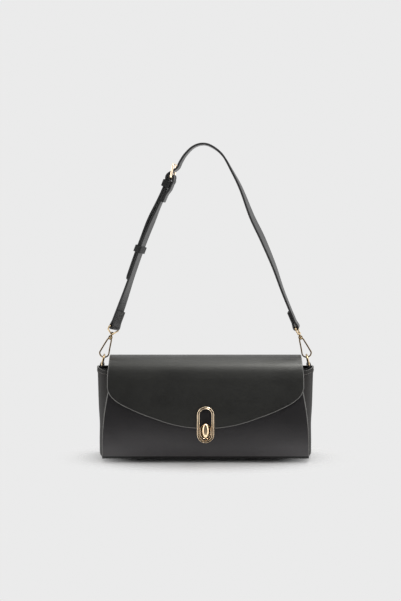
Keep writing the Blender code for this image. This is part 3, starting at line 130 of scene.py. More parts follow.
def ease(value: float) -> float:
    """Step smoothly from 0 to 1 as the value does."""
    value = min(max(value, 0.0), 1.0)
    return value * value * (3.0 - 2.0 * value)


def spread(low: float, high: float, count: int) -> list[float]:
    """Space count + 1 values evenly."""
    return [low + (high - low) * index / count for index in range(count + 1)]


def around(line: Sequence, index: int) -> tuple:
    """Items before and after an index, held at the ends of the line."""
    return line[max(index - 1, 0)], line[min(index + 1, len(line) - 1)]


def facing(direction: Vector, sense: int) -> Vector:
    """Turn a direction round where its X goes against the sense."""
    return -direction if direction.x * sense < 0 else direction


def smooth_line(points: Sequence[Vector], samples: int) -> list[Vector]:
    """Lay a smooth curve through points.

    Args:
        points: Points that the curve passes.
        samples: Samples between two points.

    Returns:
        The samples, from the first point to the last.
    """
    line = []
    for index, (start, end) in enumerate(zip(points, points[1:])):
        before, after = points[max(index - 1, 0)], points[min(index + 2, len(points) - 1)]
        for t in spread(0.0, 1.0, samples)[:-1]:
            turn = (end - before) * (t - 2 * t * t + t ** 3) / 2
            turn = turn + (after - start) * (t ** 3 - t * t) / 2
            blend = start * (1 - 3 * t * t + 2 * t ** 3) + end * (3 * t * t - 2 * t ** 3)
            line.append(blend + turn)
    return line + [points[-1].copy()]


def even_line(points: Sequence[Vector], pitch: float) -> list[Vector]:
    """Space points evenly along a line, measured in their first two coordinates.

    Args:
        points: Points of the line.
        pitch: Distance between two points of the result.

    Returns:
        The points, from the line's first to its last.
    """
    lengths = [0.0]
    for first, second in zip(points, points[1:]):
        lengths.append(lengths[-1] + (second.xy - first.xy).length)
    line, index = [], 0
    for target in spread(0.0, lengths[-1], round(lengths[-1] / pitch)):
        while index < len(points) - 2 and lengths[index + 1] < target:
            index += 1
        share = (target - lengths[index]) / (lengths[index + 1] - lengths[index])
        line.append(points[index].lerp(points[index + 1], min(share, 1.0)))
    return line


def slot_outline(width: float, height: float, steps: int) -> list[Point2]:
    """Outline of an upright slot with round ends.

    Args:
        width: Full width.
        height: Full height.
        steps: Steps round each end.

    Returns:
        Points, counterclockwise.
    """
    radius = width / 2
    return [(side * radius * math.cos(angle),
             side * (height / 2 - radius + radius * math.sin(angle)))
            for side in (1, -1) for angle in spread(0.0, math.pi, steps)]


def box_outline(width: float, height: float, radius: float, steps: int) -> list[Point2]:
    """Outline of a rectangle with round corners.

    Args:
        width: Full width.
        height: Full height.
        radius: Radius of the corners.
        steps: Steps round each corner.

    Returns:
        Points, counterclockwise.
    """
    return [(side_x * (width / 2 - radius) + radius * math.cos(angle),
             side_y * (height / 2 - radius) + radius * math.sin(angle))
            for side_x, side_y, turn in ((1, 1, 0.0), (-1, 1, 0.5), (-1, -1, 1.0), (1, -1, 1.5))
            for angle in spread(math.pi * turn, math.pi * (turn + 0.5), steps)]


def axes_at(origin: Vector, x_axis: Vector, y_axis: Vector, z_axis: Vector) -> Matrix:
    """Make a matrix from its origin and its axes.

    Args:
        origin: Where the frame stands.
        x_axis: Its X direction.
        y_axis: Its Y direction.
        z_axis: Its Z direction.

    Returns:
        The matrix.
    """
    matrix = Matrix((x_axis, y_axis, z_axis)).transposed().to_4x4()
    matrix.translation = origin
    return matrix


def front_frame(y: float, z: float) -> Matrix:
    """Frame on the middle plane whose Z goes to the front."""
    return axes_at(Vector((0.0, y, z)), X_AXIS, Z_AXIS, -Y_AXIS)


def carried_frames(points: Sequence[Vector], closed: bool) -> list[Matrix]:
    """Carry a frame along a line without twisting it.

    Args:
        points: Points of the line.
        closed: Whether the line joins up.

    Returns:
        One matrix for each point, with Z along the line.
    """
    frames, side = [], None
    for index, point in enumerate(points):
        if closed:
            before, after = points[index - 1], points[(index + 1) % len(points)]
        else:
            before, after = around(points, index)
        along = (after - before).normalized()
        if side is None:
            side = along.cross(Y_AXIS if abs(along.y) < 0.9 else X_AXIS).normalized()
        side = (side - along * side.dot(along)).normalized()
        frames.append(axes_at(point, side, along.cross(side), along))
    return frames


# Meshes


def bent_grid(across: Sequence[float], along: Sequence[float],
              place: Callable[[float, float], Vector],
              painted: Callable[[int, int], bool] | None = None) -> BMesh:
    """Bend a flat grid over a surface.

    Args:
        across: Where the grid's columns stand.
        along: Where the grid's rows stand.
        place: Point of the surface for a column and a row.
        painted: Tells whether the face of a column and a row takes the second material.

    Returns:
        An open sheet.
    """
    bm = bmesh.new()
    columns, rows = len(across) - 1, len(along) - 1
    bmesh.ops.create_grid(bm, x_segments=columns, y_segments=rows, size=0.5)
    for face in bm.faces if painted else ():
        middle = face.calc_center_median()
        face.material_index = int(painted(int((middle.x + 0.5) * columns),
                                          int((middle.y + 0.5) * rows)))
    for vertex in bm.verts:
        vertex.co = place(across[round((vertex.co.x + 0.5) * columns)],
                          along[round((vertex.co.y + 0.5) * rows)])
    return bm


def swept(outline: Sequence[Point2], stations: Sequence[Matrix], closed: bool = False,
          painted: Callable[[int], bool] | None = None) -> BMesh:
    """Sweep an outline through stations.

    Args:
        outline: Closed outline in each station's XY plane.
        stations: Matrices that place the outline.
        closed: Whether the last station joins the first.
        painted: Tells whether the faces of an outline step take the second material.

    Returns:
        A closed solid.
    """
    columns, rows = len(outline), len(stations) - (not closed)
    bm = bent_grid(range(columns + 1), range(rows + 1),
                   lambda column, row: stations[row % len(stations)]
                   @ Vector((*outline[column % columns], 0.0)),
                   painted and (lambda column, row: painted(column)))
    bmesh.ops.remove_doubles(bm, verts=bm.verts, dist=WELD)
    if not closed:
        rims = [edge for edge in bm.edges if edge.is_boundary]
        for face in bmesh.ops.holes_fill(bm, edges=rims)["faces"]:
            face.material_index = int(painted is not None)
    bmesh.ops.recalc_face_normals(bm, faces=bm.faces)
    return bm


def tube(points: Sequence[Vector], radius: float, sides: int = 16, closed: bool = False,
         swell: Callable[[float], float] | None = None) -> BMesh:
    """Make a round rod along a line.

    Args:
        points: Points of the line.
        radius: Radius of the rod.
        sides: Faces round the rod.
        closed: Whether the rod joins up.
        swell: Factor on the radius for a share of the line.

    Returns:
        A closed solid.
    """
    stations = carried_frames(points, closed)
    if swell:
        last = len(stations) - 1
        stations = [station @ Matrix.Diagonal((swell(index / last), swell(index / last), 1, 1))
                    for index, station in enumerate(stations)]
    angles = [2 * math.pi * index / sides for index in range(sides)]
    outline = [(radius * math.cos(angle), radius * math.sin(angle)) for angle in angles]
    return swept(outline, stations, closed)


def turned(profile: Sequence[Point2], frame: Matrix, sides: int = 32) -> BMesh:
    """Turn a profile round an axis.

    Args:
        profile: (radius, height) points from one end of the axis to the other.
        frame: Matrix whose Z is the axis.
        sides: Faces round the axis.

    Returns:
        A closed solid.
    """
    bm = bmesh.new()
    first = [bm.verts.new((radius, 0.0, height)) for radius, height in profile]
    edges = [bm.edges.new(pair) for pair in zip(first, first[1:])]
    bmesh.ops.spin(bm, geom=first + edges, cent=(0, 0, 0), axis=(0, 0, 1), angle=2 * math.pi,
                   steps=sides, use_merge=True)
    bmesh.ops.remove_doubles(bm, verts=bm.verts, dist=WELD)
    bmesh.ops.recalc_face_normals(bm, faces=bm.faces)
    bmesh.ops.transform(bm, matrix=frame, verts=bm.verts)
    return bm


def plate(outline: Sequence[Point2], depth: float, frame: Matrix, edge: float = 0.0) -> BMesh:
    """Make a flat plate.

    Args:
        outline: Outline in the frame's XY plane.
        depth: Thickness along the frame's Z, half to each side.
        frame: Matrix that places the plate.
        edge: Radius of its rounded edges.

    Returns:
        A closed solid.
    """
    bm = bmesh.new()
    face = bm.faces.new([bm.verts.new((x, y, -depth / 2)) for x, y in outline])
    lifted = bmesh.ops.extrude_face_region(bm, geom=[face])["geom"]
    top = [item for item in lifted if isinstance(item, bmesh.types.BMVert)]
    bmesh.ops.translate(bm, vec=(0, 0, depth), verts=top)
    if edge:
        rims = [item for item in bm.edges
                if abs(item.verts[0].co.z - item.verts[1].co.z) < MM / 100]
        bmesh.ops.bevel(bm, geom=rims, offset=edge, offset_type="OFFSET", segments=3,
                        profile=0.5, affect="EDGES", material=-1)
    bmesh.ops.recalc_face_normals(bm, faces=bm.faces)
    bmesh.ops.transform(bm, matrix=frame, verts=bm.verts)
    return bm


def joined(parts: Sequence[BMesh]) -> BMesh:
    """Put several meshes, which are freed, into one.

    Args:
        parts: The meshes.

    Returns:
        The whole mesh.
    """
    whole = bmesh.new()
    for part in parts:
        scratch = bpy.data.meshes.new("scratch")
        part.to_mesh(scratch)
        part.free()
        whole.from_mesh(scratch)
        bpy.data.meshes.remove(scratch)
    return whole


def thread_row(points: Sequence[Vector], outward: Vector, pitch: float, length: float,
               radius: float) -> BMesh:
    """Sew a row of stitches along a line.

    Args:
        points: Points of the line, on the leather's face.
        outward: Direction off the leather.
        pitch: Distance from one stitch to the next, in millimetres.
        length: Length of a stitch, in millimetres.
        radius: Radius of the thread, in millimetres.

    Returns:
        One small bead for each stitch.
    """
    whole = bmesh.new()
    covered, target = 0.0, pitch * MM / 2
    size = Matrix.Diagonal((radius * MM * 1.2, radius * MM * 0.8, length * MM / 2, 1.0))
    for start, end in zip(points, points[1:]):
        span = (end - start).length
        while span > 0 and covered + span >= target:
            place = start.lerp(end, (target - covered) / span)
            along = (end - start).normalized()
            off = (outward - along * outward.dot(along)).normalized()
            frame = axes_at(place + off * radius * MM * 0.35, along.cross(off), off, along)
            bmesh.ops.create_uvsphere(whole, u_segments=6, v_segments=4, radius=1.0,
                                      matrix=frame @ size)
            target += pitch * MM
        covered += span
    return whole


# Finishes


class NodeBench:
    """Places and joins the nodes of one material, group or world."""

    def __init__(self, tree: bpy.types.NodeTree) -> None:
        """Take the tree to work on."""
        self.tree = tree

    def feed(self, target: Socket, value: object) -> None:
        """Set an input, or link another socket to it.

        Args:
            target: The input.
            value: Socket to link, or value to set.
        """
        if isinstance(value, Socket):
            self.tree.links.new(value, target)
        else:
            target.default_value = value

    def add(self, kind: str, feeds: dict | None = None, **settings: object) -> Node:
        """Add a node.

        Args:
            kind: Type of the node, without its ShaderNode.
            feeds: Socket or value for each input that has one.
            settings: Properties of the node.

        Returns:
            The node.
        """
        node = self.tree.nodes.new("ShaderNode" + kind)
        for name, value in settings.items():
            setattr(node, name, value)
        for key, value in (feeds or {}).items():
            self.feed(node.inputs[key], value)
        return node

    def math(self, operation: str, first: object, second: object = 0.5) -> Socket:
        """Result of a sum of sockets or numbers."""
        return self.add("Math", {0: first, 1: second}, operation=operation).outputs[0]

    def weigh(self, first: object, share: float, second: object, other: float) -> Socket:
        """Sum of two sockets, each times its share."""
        return self.math("ADD", self.math("MULTIPLY", first, share),
                         self.math("MULTIPLY", second, other))

    def noise(self, place: Socket, *values: object) -> bpy.types.bpy_prop_collection:
        """Outputs of a noise texture with its scale, detail and roughness."""
        return self.add("TexNoise", {0: place, **dict(enumerate(values, 2))}).outputs

    def ramp(self, *values: object, kind: str = "SMOOTHSTEP") -> Socket:
        """Result of a step: its value, from low, from high, to low and to high."""
        return self.add("MapRange", dict(enumerate(values)), interpolation_type=kind).outputs[0]


def new_group(effect: Effect, *outputs: str) -> tuple[NodeBench, Socket, Socket, Node]:
    """Start a shader node group that takes a place and a scale.

    Args:
        effect: The effect, whose value is the group's name.
        outputs: Names of the numbers that it gives.

    Returns:
        The bench, the sockets of the place and the scale, and the output node.
    """
    tree = bpy.data.node_groups.new(effect.value, "ShaderNodeTree")
    for label, way, kind in (("Place", "INPUT", "Vector"), ("Scale", "INPUT", "Float"),
                             *((label, "OUTPUT", "Float") for label in outputs)):
        tree.interface.new_socket(label, in_out=way, socket_type="NodeSocket" + kind)
    taken = tree.nodes.new("NodeGroupInput")
    return NodeBench(tree), taken.outputs[0], taken.outputs[1], tree.nodes.new("NodeGroupOutput")


def grain_group() -> bpy.types.NodeTree:
    """Build the leather grain: its height, and a mask of rubbed and mottled places.

    Returns:
        The group.
    """
    bench, place, scale, given = new_group(Effect.GRAIN, "Height", "Rub")
    brushed = bench.add("VectorMath", {0: place, 1: (0.55, 1.0, 1.0)}, operation="MULTIPLY")
    mottle = bench.noise(brushed.outputs[0], 620.0, 3.0, 0.7)[0]
    warp = bench.noise(place, 600.0, 2.0)["Color"]
    bend = bench.add("VectorMath", {0: warp, "Scale": 0.0007}, operation="SCALE")
    moved = bench.add("VectorMath", {0: place, 1: bend.outputs[0]}, operation="ADD")
    cells = bench.add("TexVoronoi", {"Vector": moved.outputs[0], "Scale": scale},
                      feature="DISTANCE_TO_EDGE")
    pores = bench.noise(place, bench.math("MULTIPLY", scale, 1.7), 4.0)[0]
    plump = bench.math("MINIMUM", bench.math("MULTIPLY", cells.outputs["Distance"], 4.0), 1.0)
    total = bench.weigh(plump, 0.55, pores, 0.45)
    bench.feed(given.inputs[0], bench.weigh(total, 1.0, bench.noise(place, 38.0, 3.0)[0], 0.35))
    rub = bench.ramp(bench.noise(place, 17.0, 4.0, 0.6)[0], 0.42, 0.68)
    spots = bench.ramp(mottle, 0.3, 0.7, kind="LINEAR")
    bench.feed(given.inputs[1], bench.weigh(rub, 0.35, spots, 0.65))
    return bench.tree


def marks_group() -> bpy.types.NodeTree:
    """Build the fine marks and broad smudges on metal, edge paint and thread.

    Returns:
        The group.
    """
    bench, place, scale, given = new_group(Effect.MARKS, "Marks", "Smudge")
    bench.feed(given.inputs[0], bench.noise(place, scale, 5.0, 0.7)[0])
    bench.feed(given.inputs[1], bench.noise(place, 110.0, 2.0)[0])
    return bench.tree


def weave_group() -> bpy.types.NodeTree:
    """Build the height of the lining's twill weave.

    Returns:
        The group.
    """
    bench, place, scale, given = new_group(Effect.WEAVE, "Height")
    half = bench.math("MULTIPLY", scale, 0.5)
    warp, weft, twill = (
        bench.add("TexWave", {0: place, "Scale": pace}, wave_type="BANDS",
                  bands_direction=direction).outputs["Fac"]
        for direction, pace in (("X", scale), ("Z", scale), ("DIAGONAL", half)))
    both = bench.math("MULTIPLY", warp, weft)
    bench.feed(given.inputs[0], bench.weigh(both, 1.0, twill, 0.6))
    return bench.tree


@dataclass(frozen=True)
class Finish:
    """Surface whose colour, roughness and bump follow a shared effect.

    The effect's outputs named by masks steer the second colour and the roughness. The second
    colour is the shade or, without one, the first colour times dim.
    """

    name: str
    colour: Rgb
    roughness: float
    scale: float = 900.0
    effect: Effect = Effect.MARKS
    masks: tuple[int, int] = (0, 0)
    shade: Rgb | None = None
    dim: float = 1.0
    share: float = 1.0
    swing: float = 0.0
    depth: float = 0.1 * MM
    strength: float = 0.5
    gloss: float = 0.5
    sheen: Rgb = (1.0, 1.0, 1.0)
    metallic: float = 0.0
    fuzz: float = 0.0
    slot: Slot = Slot.LEATHER

    def make(self, groups: dict[Effect, bpy.types.NodeTree]) -> bpy.types.Material:
        """Build the material.

        Args:
            groups: Shared node groups.

        Returns:
            The material.
        """
        material = bpy.data.materials.new(self.name)
        material.use_nodes = True
        bench = NodeBench(material.node_tree)
        place = bench.add("TexCoord").outputs["Object"]
        effect = bench.add("Group", node_tree=groups[self.effect])
        bench.feed(effect.inputs[0], place)
        bench.feed(effect.inputs[1], self.scale)
        tint, rough = (effect.outputs[index] for index in self.masks)
        colour = (*self.colour, 1.0)
        shade = self.shade or tuple(channel * self.dim for channel in self.colour)
        mix = bench.add("Mix", data_type="RGBA")
        for index, value in ((6, colour), (7, (*shade, 1.0)),
                             (0, bench.math("MULTIPLY", tint, self.share))):
            bench.feed(mix.inputs[index], value)
        swung = bench.math("MULTIPLY", bench.math("SUBTRACT", rough, 0.5), self.swing)
        bump = bench.add("Bump", {"Strength": self.strength, "Distance": self.depth,
                                  "Height": effect.outputs[0]})
        shader = material.node_tree.nodes["Principled BSDF"]
        for name, value in (("Base Color", colour), ("Base Color", mix.outputs[2]),
                            ("Roughness", self.roughness),
                            ("Roughness", bench.math("ADD", swung, self.roughness)),
                            ("Normal", bump.outputs[0]), ("Metallic", self.metallic),
                            ("Specular IOR Level", self.gloss), ("Sheen Weight", self.fuzz),
                            ("Specular Tint", (*self.sheen, 1.0))):
            bench.feed(shader.inputs[name], value)
        return material


@dataclass(frozen=True)
class Leather(Finish):
    """Smooth calf leather with a fine printed grain."""

    scale: float = 1900.0
    effect: Effect = Effect.GRAIN
    masks: tuple[int, int] = (1, 1)
    shade: Rgb | None = (0.0105, 0.0102, 0.0105)
    swing: float = -0.09
    depth: float = 0.06 * MM
    strength: float = 0.55
    gloss: float = 0.35


@dataclass(frozen=True)
class EdgePaint(Finish):
    """Painted and burnished cut edge of the leather."""

    masks: tuple[int, int] = (1, 0)
    dim: float = 0.55
    swing: float = 0.2
    depth: float = 0.04 * MM
    gloss: float = 0.4


@dataclass(frozen=True)
class Cloth(Finish):
    """Woven lining cloth."""

    scale: float = 1400.0
    effect: Effect = Effect.WEAVE
    dim: float = 1.9
    swing: float = 0.12
    strength: float = 0.6
    gloss: float = 0.2
    fuzz: float = 0.25
    slot: Slot = Slot.LINING


@dataclass(frozen=True)
class Metal(Finish):
    """Polished or plain metal with faint marks."""

    masks: tuple[int, int] = (1, 0)
    share: float = 0.5
    swing: float = 0.08
    depth: float = 0.004 * MM
    strength: float = 0.05
    metallic: float = 1.0
    slot: Slot = Slot.GOLD


@dataclass(frozen=True)
class Thread(Finish):
    """Waxed sewing thread."""

    scale: float = 5000.0
    dim: float = 0.5
    strength: float = 0.8


class Look(Enum):
    """Every finish of the bag."""

    FRONT = Leather("front leather", (0.0042, 0.0038, 0.0046), 0.34, gloss=1.0,
                    sheen=(1.0, 0.96, 0.98))
    FLAP = Leather("flap leather", (0.004, 0.004, 0.0036), 0.41, gloss=0.68,
                   sheen=(1.0, 1.0, 0.94), swing=-0.16)
    GUSSET = Leather("gusset leather", (0.0065, 0.0055, 0.0048), 0.62, gloss=0.1,
                     sheen=(1.0, 0.97, 0.9))
    STRAP = Leather("strap leather", (0.006, 0.006, 0.006), 0.34, 2400.0, gloss=0.42)
    INSIDE = Leather("flap underside", (0.010, 0.010, 0.010), 0.6, 2600.0, slot=Slot.LINING)
    # Matte keeper leather; also laid on the walls' bottom fold as painted shade.
    KEEPER = Leather("keeper leather", (0.008, 0.0085, 0.008), 0.6, 2400.0, gloss=0.25)
    # Pale grey edge paint: partly the painted cut edge, partly a painted highlight along the
    # rounded edges.
    EDGE = EdgePaint("edge paint", (0.27, 0.265, 0.255), 0.5)
    STRAP_EDGE = EdgePaint("strap edge paint", (0.005, 0.005, 0.005), 0.65)
    CLOTH = Cloth("lining cloth", (0.012, 0.012, 0.013), 0.8)
    GOLD = Metal("pale gold plating", (1.0, 0.82, 0.6), 0.15, swing=0.04,
                 shade=(0.95, 0.72, 0.5))
    # Darkened copy of the gold plating: painted shade in the lock ring's groove and on the lock
    # plate's face; on the hooks and gates it is partly their darker plating and partly painted
    # shade.
    SHADED_DARK_GOLD = Metal("dark gold plating", (0.14, 0.095, 0.045), 0.24, swing=0.1,
                      shade=(0.09, 0.06, 0.03))
    KNOB_GOLD = Metal("brushed gold plating", (0.95, 0.74, 0.5), 0.27, shade=(0.6, 0.42, 0.24))
    # Half-darkened copy of the gold plating for the D-rings, rivets and bails: painted shade.
    SHADED_MID_GOLD = Metal("worn gold plating", (0.44, 0.34, 0.21), 0.2, shade=(0.3, 0.21, 0.12))
    STEEL = Metal("plain steel", (0.45, 0.45, 0.46), 0.38, swing=0.2, shade=(0.3, 0.3, 0.31),
                  slot=Slot.STEEL)
    THREAD = Thread("black thread", (0.03, 0.03, 0.03), 0.6)
    HEM_THREAD = Thread("hem thread", (0.16, 0.145, 0.13), 0.6)
    BOARD = EdgePaint("stiffener board", (0.09, 0.085, 0.08), 0.8, slot=Slot.BOARD)


class Workshop:
    """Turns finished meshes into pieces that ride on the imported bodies."""

    def __init__(self) -> None:
        """Build the shared groups and every finish once."""
        groups = {Effect.GRAIN: grain_group(), Effect.MARKS: marks_group(),
                  Effect.WEAVE: weave_group()}
        self.materials = {look: look.value.make(groups) for look in Look}

    def piece(self, bm: BMesh, name: str, body: str | None, looks: Sequence[Look],
              nodes: str = "", sharp: float = 38.0, slot: Slot | None = None) -> Object:
        """Make a piece from a mesh.

        Args:
            bm: Finished mesh, which is freed.
            name: Name of the piece.
            body: Body that it rides on, or None to leave it unattached.
            looks: Its finishes.
            nodes: CAD nodes that it replaces, with spaces between them.
            sharp: Angle in degrees past which an edge stays sharp.
            slot: Material slot of the record, where it isn't that of its first finish; not used.

        Returns:
            The object.
        """
        mesh = bpy.data.meshes.new(name)
        bm.to_mesh(mesh)
        bm.free()
        mesh.shade_smooth()
        mesh.set_sharp_from_angle(angle=math.radians(sharp))
        item = bpy.data.objects.new(name, mesh)
        for look in looks:
            mesh.materials.append(self.materials[look])
        bpy.context.scene.collection.objects.link(item)
        if body:
            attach(item, str(getattr(body, "value", body)))
        if nodes:
            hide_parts(*nodes.split())
        LOG.info("%s: %d faces", name, len(mesh.polygons))
        return item

    def modify(self, item: Object, kind: str, **settings: object) -> None:
        """Add a modifier with its settings to a piece.

        Args:
            item: The piece.
            kind: Type of the modifier.
            settings: Properties of the modifier.
        """
        change = item.modifiers.new(kind.title(), kind)
        for name, value in settings.items():
            setattr(change, name, value)

    def wall(self, item: Object, stock: float, edge: float = 0.0, offset: float = -1.0) -> None:
        """Give an open sheet its thickness and rounded edges.

        Args:
            item: Sheet whose rim takes its second material.
            stock: Thickness.
            edge: Radius of its edges.
            offset: Which way the thickness goes.
        """
        self.modify(item, "SOLIDIFY", thickness=stock, offset=offset, use_even_offset=True,
                    material_offset_rim=min(1, len(item.data.materials) - 1))
        if edge:
            self.modify(item, "BEVEL", width=edge, segments=2, limit_method="ANGLE",
                        angle_limit=math.radians(60.0), harden_normals=False)

    def carve(self, item: Object, cutter: BMesh) -> None:
        """Cut a closed shape, which is freed, out of a piece and apply its modifiers.

        Args:
            item: The piece.
            cutter: The closed shape.
        """
        mesh = bpy.data.meshes.new("cutter")
        cutter.to_mesh(mesh)
        cutter.free()
        tool = bpy.data.objects.new("cutter", mesh)
        bpy.context.scene.collection.objects.link(tool)
        self.modify(item, "BOOLEAN", operation="DIFFERENCE", solver="EXACT", object=tool)
        self.settle(item)
        bpy.data.objects.remove(tool, do_unlink=True)

    def settle(self, item: Object) -> None:
        """Apply every modifier of a piece.

        Args:
            item: The piece.
        """
        graph = bpy.context.evaluated_depsgraph_get()
        result = bpy.data.meshes.new_from_object(item.evaluated_get(graph))
        result.name = item.name
        item.modifiers.clear()
        item.data = result


# Body of the bag


@dataclass(frozen=True)
class BodyForm:
    """Outer shape of the bag's body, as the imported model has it."""

    height: float = 108.0 * MM
    half_depth: float = 33.0 * MM
    fold: float = 5.0 * MM
    fold_lip: float = 3.0 * MM
    # Height below which the walls' turned-under fold takes dark matte leather as painted shade.
    turned: float = 3.8 * MM
    front_lean: float = 11.0 * MM
    front_bulge: float = 3.5 * MM
    back_lean: float = 4.0 * MM
    back_bulge: float = 1.5 * MM
    front_base: float = 129.0 * MM
    front_top: float = 115.0 * MM
    back_base: float = 134.5 * MM
    back_top: float = 137.1 * MM
    waist: float = 0.9 * MM
    belly: float = 0.5 * MM
    panel: float = 1.8 * MM
    board: float = 1.5 * MM
    gusset: float = 1.4 * MM
    cloth: float = 0.8 * MM
    standoff: float = 2.5 * MM
    side_standoff: float = 5.6 * MM

    def share(self, z: float) -> float:
        """Height on the wall above the base fold, from 0 to 1."""
        return min(max((z - self.fold) / (self.height - self.fold), 0.0), 1.0)

    def depth(self, z: float, lean: float, bulge: float, inset: float) -> float:
        """Distance from the middle plane to a wall.

        Args:
            z: Height.
            lean: How far the wall leans in at its top.
            bulge: How far it swells at half height.
            inset: Distance below its outer face.

        Returns:
            The distance.
        """
        if z >= self.fold:
            share = self.share(z)
            return self.half_depth - lean * share ** 2 + bulge * math.sin(math.pi * share) - inset
        reach = max((self.fold - inset) ** 2 - (self.fold - z) ** 2, 0.0)
        return self.half_depth - self.fold + math.sqrt(reach)

    def front(self, z: float, inset: float = 0.0) -> float:
        """Y of the front panel at a height."""
        return -self.depth(z, self.front_lean, self.front_bulge, inset)

    def back(self, z: float, inset: float = 0.0) -> float:
        """Y of the back panel at a height."""
        return self.depth(z, self.back_lean, self.back_bulge, inset)

    def front_half(self, z: float) -> float:
        """Half the width of the front panel at a height."""
        return self.front_base - (self.front_base - self.front_top) * self.share(z) ** 2.2

    def back_half(self, z: float) -> float:
        """Half the width of the back panel at a height."""
        waist = self.waist * math.exp(-((self.share(z) - 0.31) / 0.16) ** 2)
        return self.back_base + (self.back_top - self.back_base) * self.share(z) - waist

    def gusset_half(self, z: float, share: float) -> float:
        """Outer X of the gusset for a height and a share from its front to its back edge.

        Args:
            z: Height.
            share: 0 at the front edge, 1 at the back edge.

        Returns:
            The X on the right side.
        """
        front, back = self.front_half(z), self.back_half(z)
        belly = self.belly * math.sin(math.pi * share) * (1 - self.share(z))
        return front + (back - front) * (1 - (1 - share) ** 2.6) + belly

    def wall_line(self, depth_at: Callable[[float], float]) -> list[Point2]:
        """Outer line of a wall.

        Args:
            depth_at: Y of the wall at a height.

        Returns:
            (y, z) points from the edge under the base to the top.
        """
        toward, flat = math.copysign(1.0, depth_at(self.height)), self.half_depth - self.fold
        line = [(toward * (flat - self.fold_lip), 0.0)]
        line += [(toward * (flat + self.fold * math.sin(angle)),
                  self.fold * (1 - math.cos(angle))) for angle in spread(0.0, QUARTER, 8)[:-1]]
        return line + [(depth_at(z), z) for z in spread(self.fold, self.height, 34)]


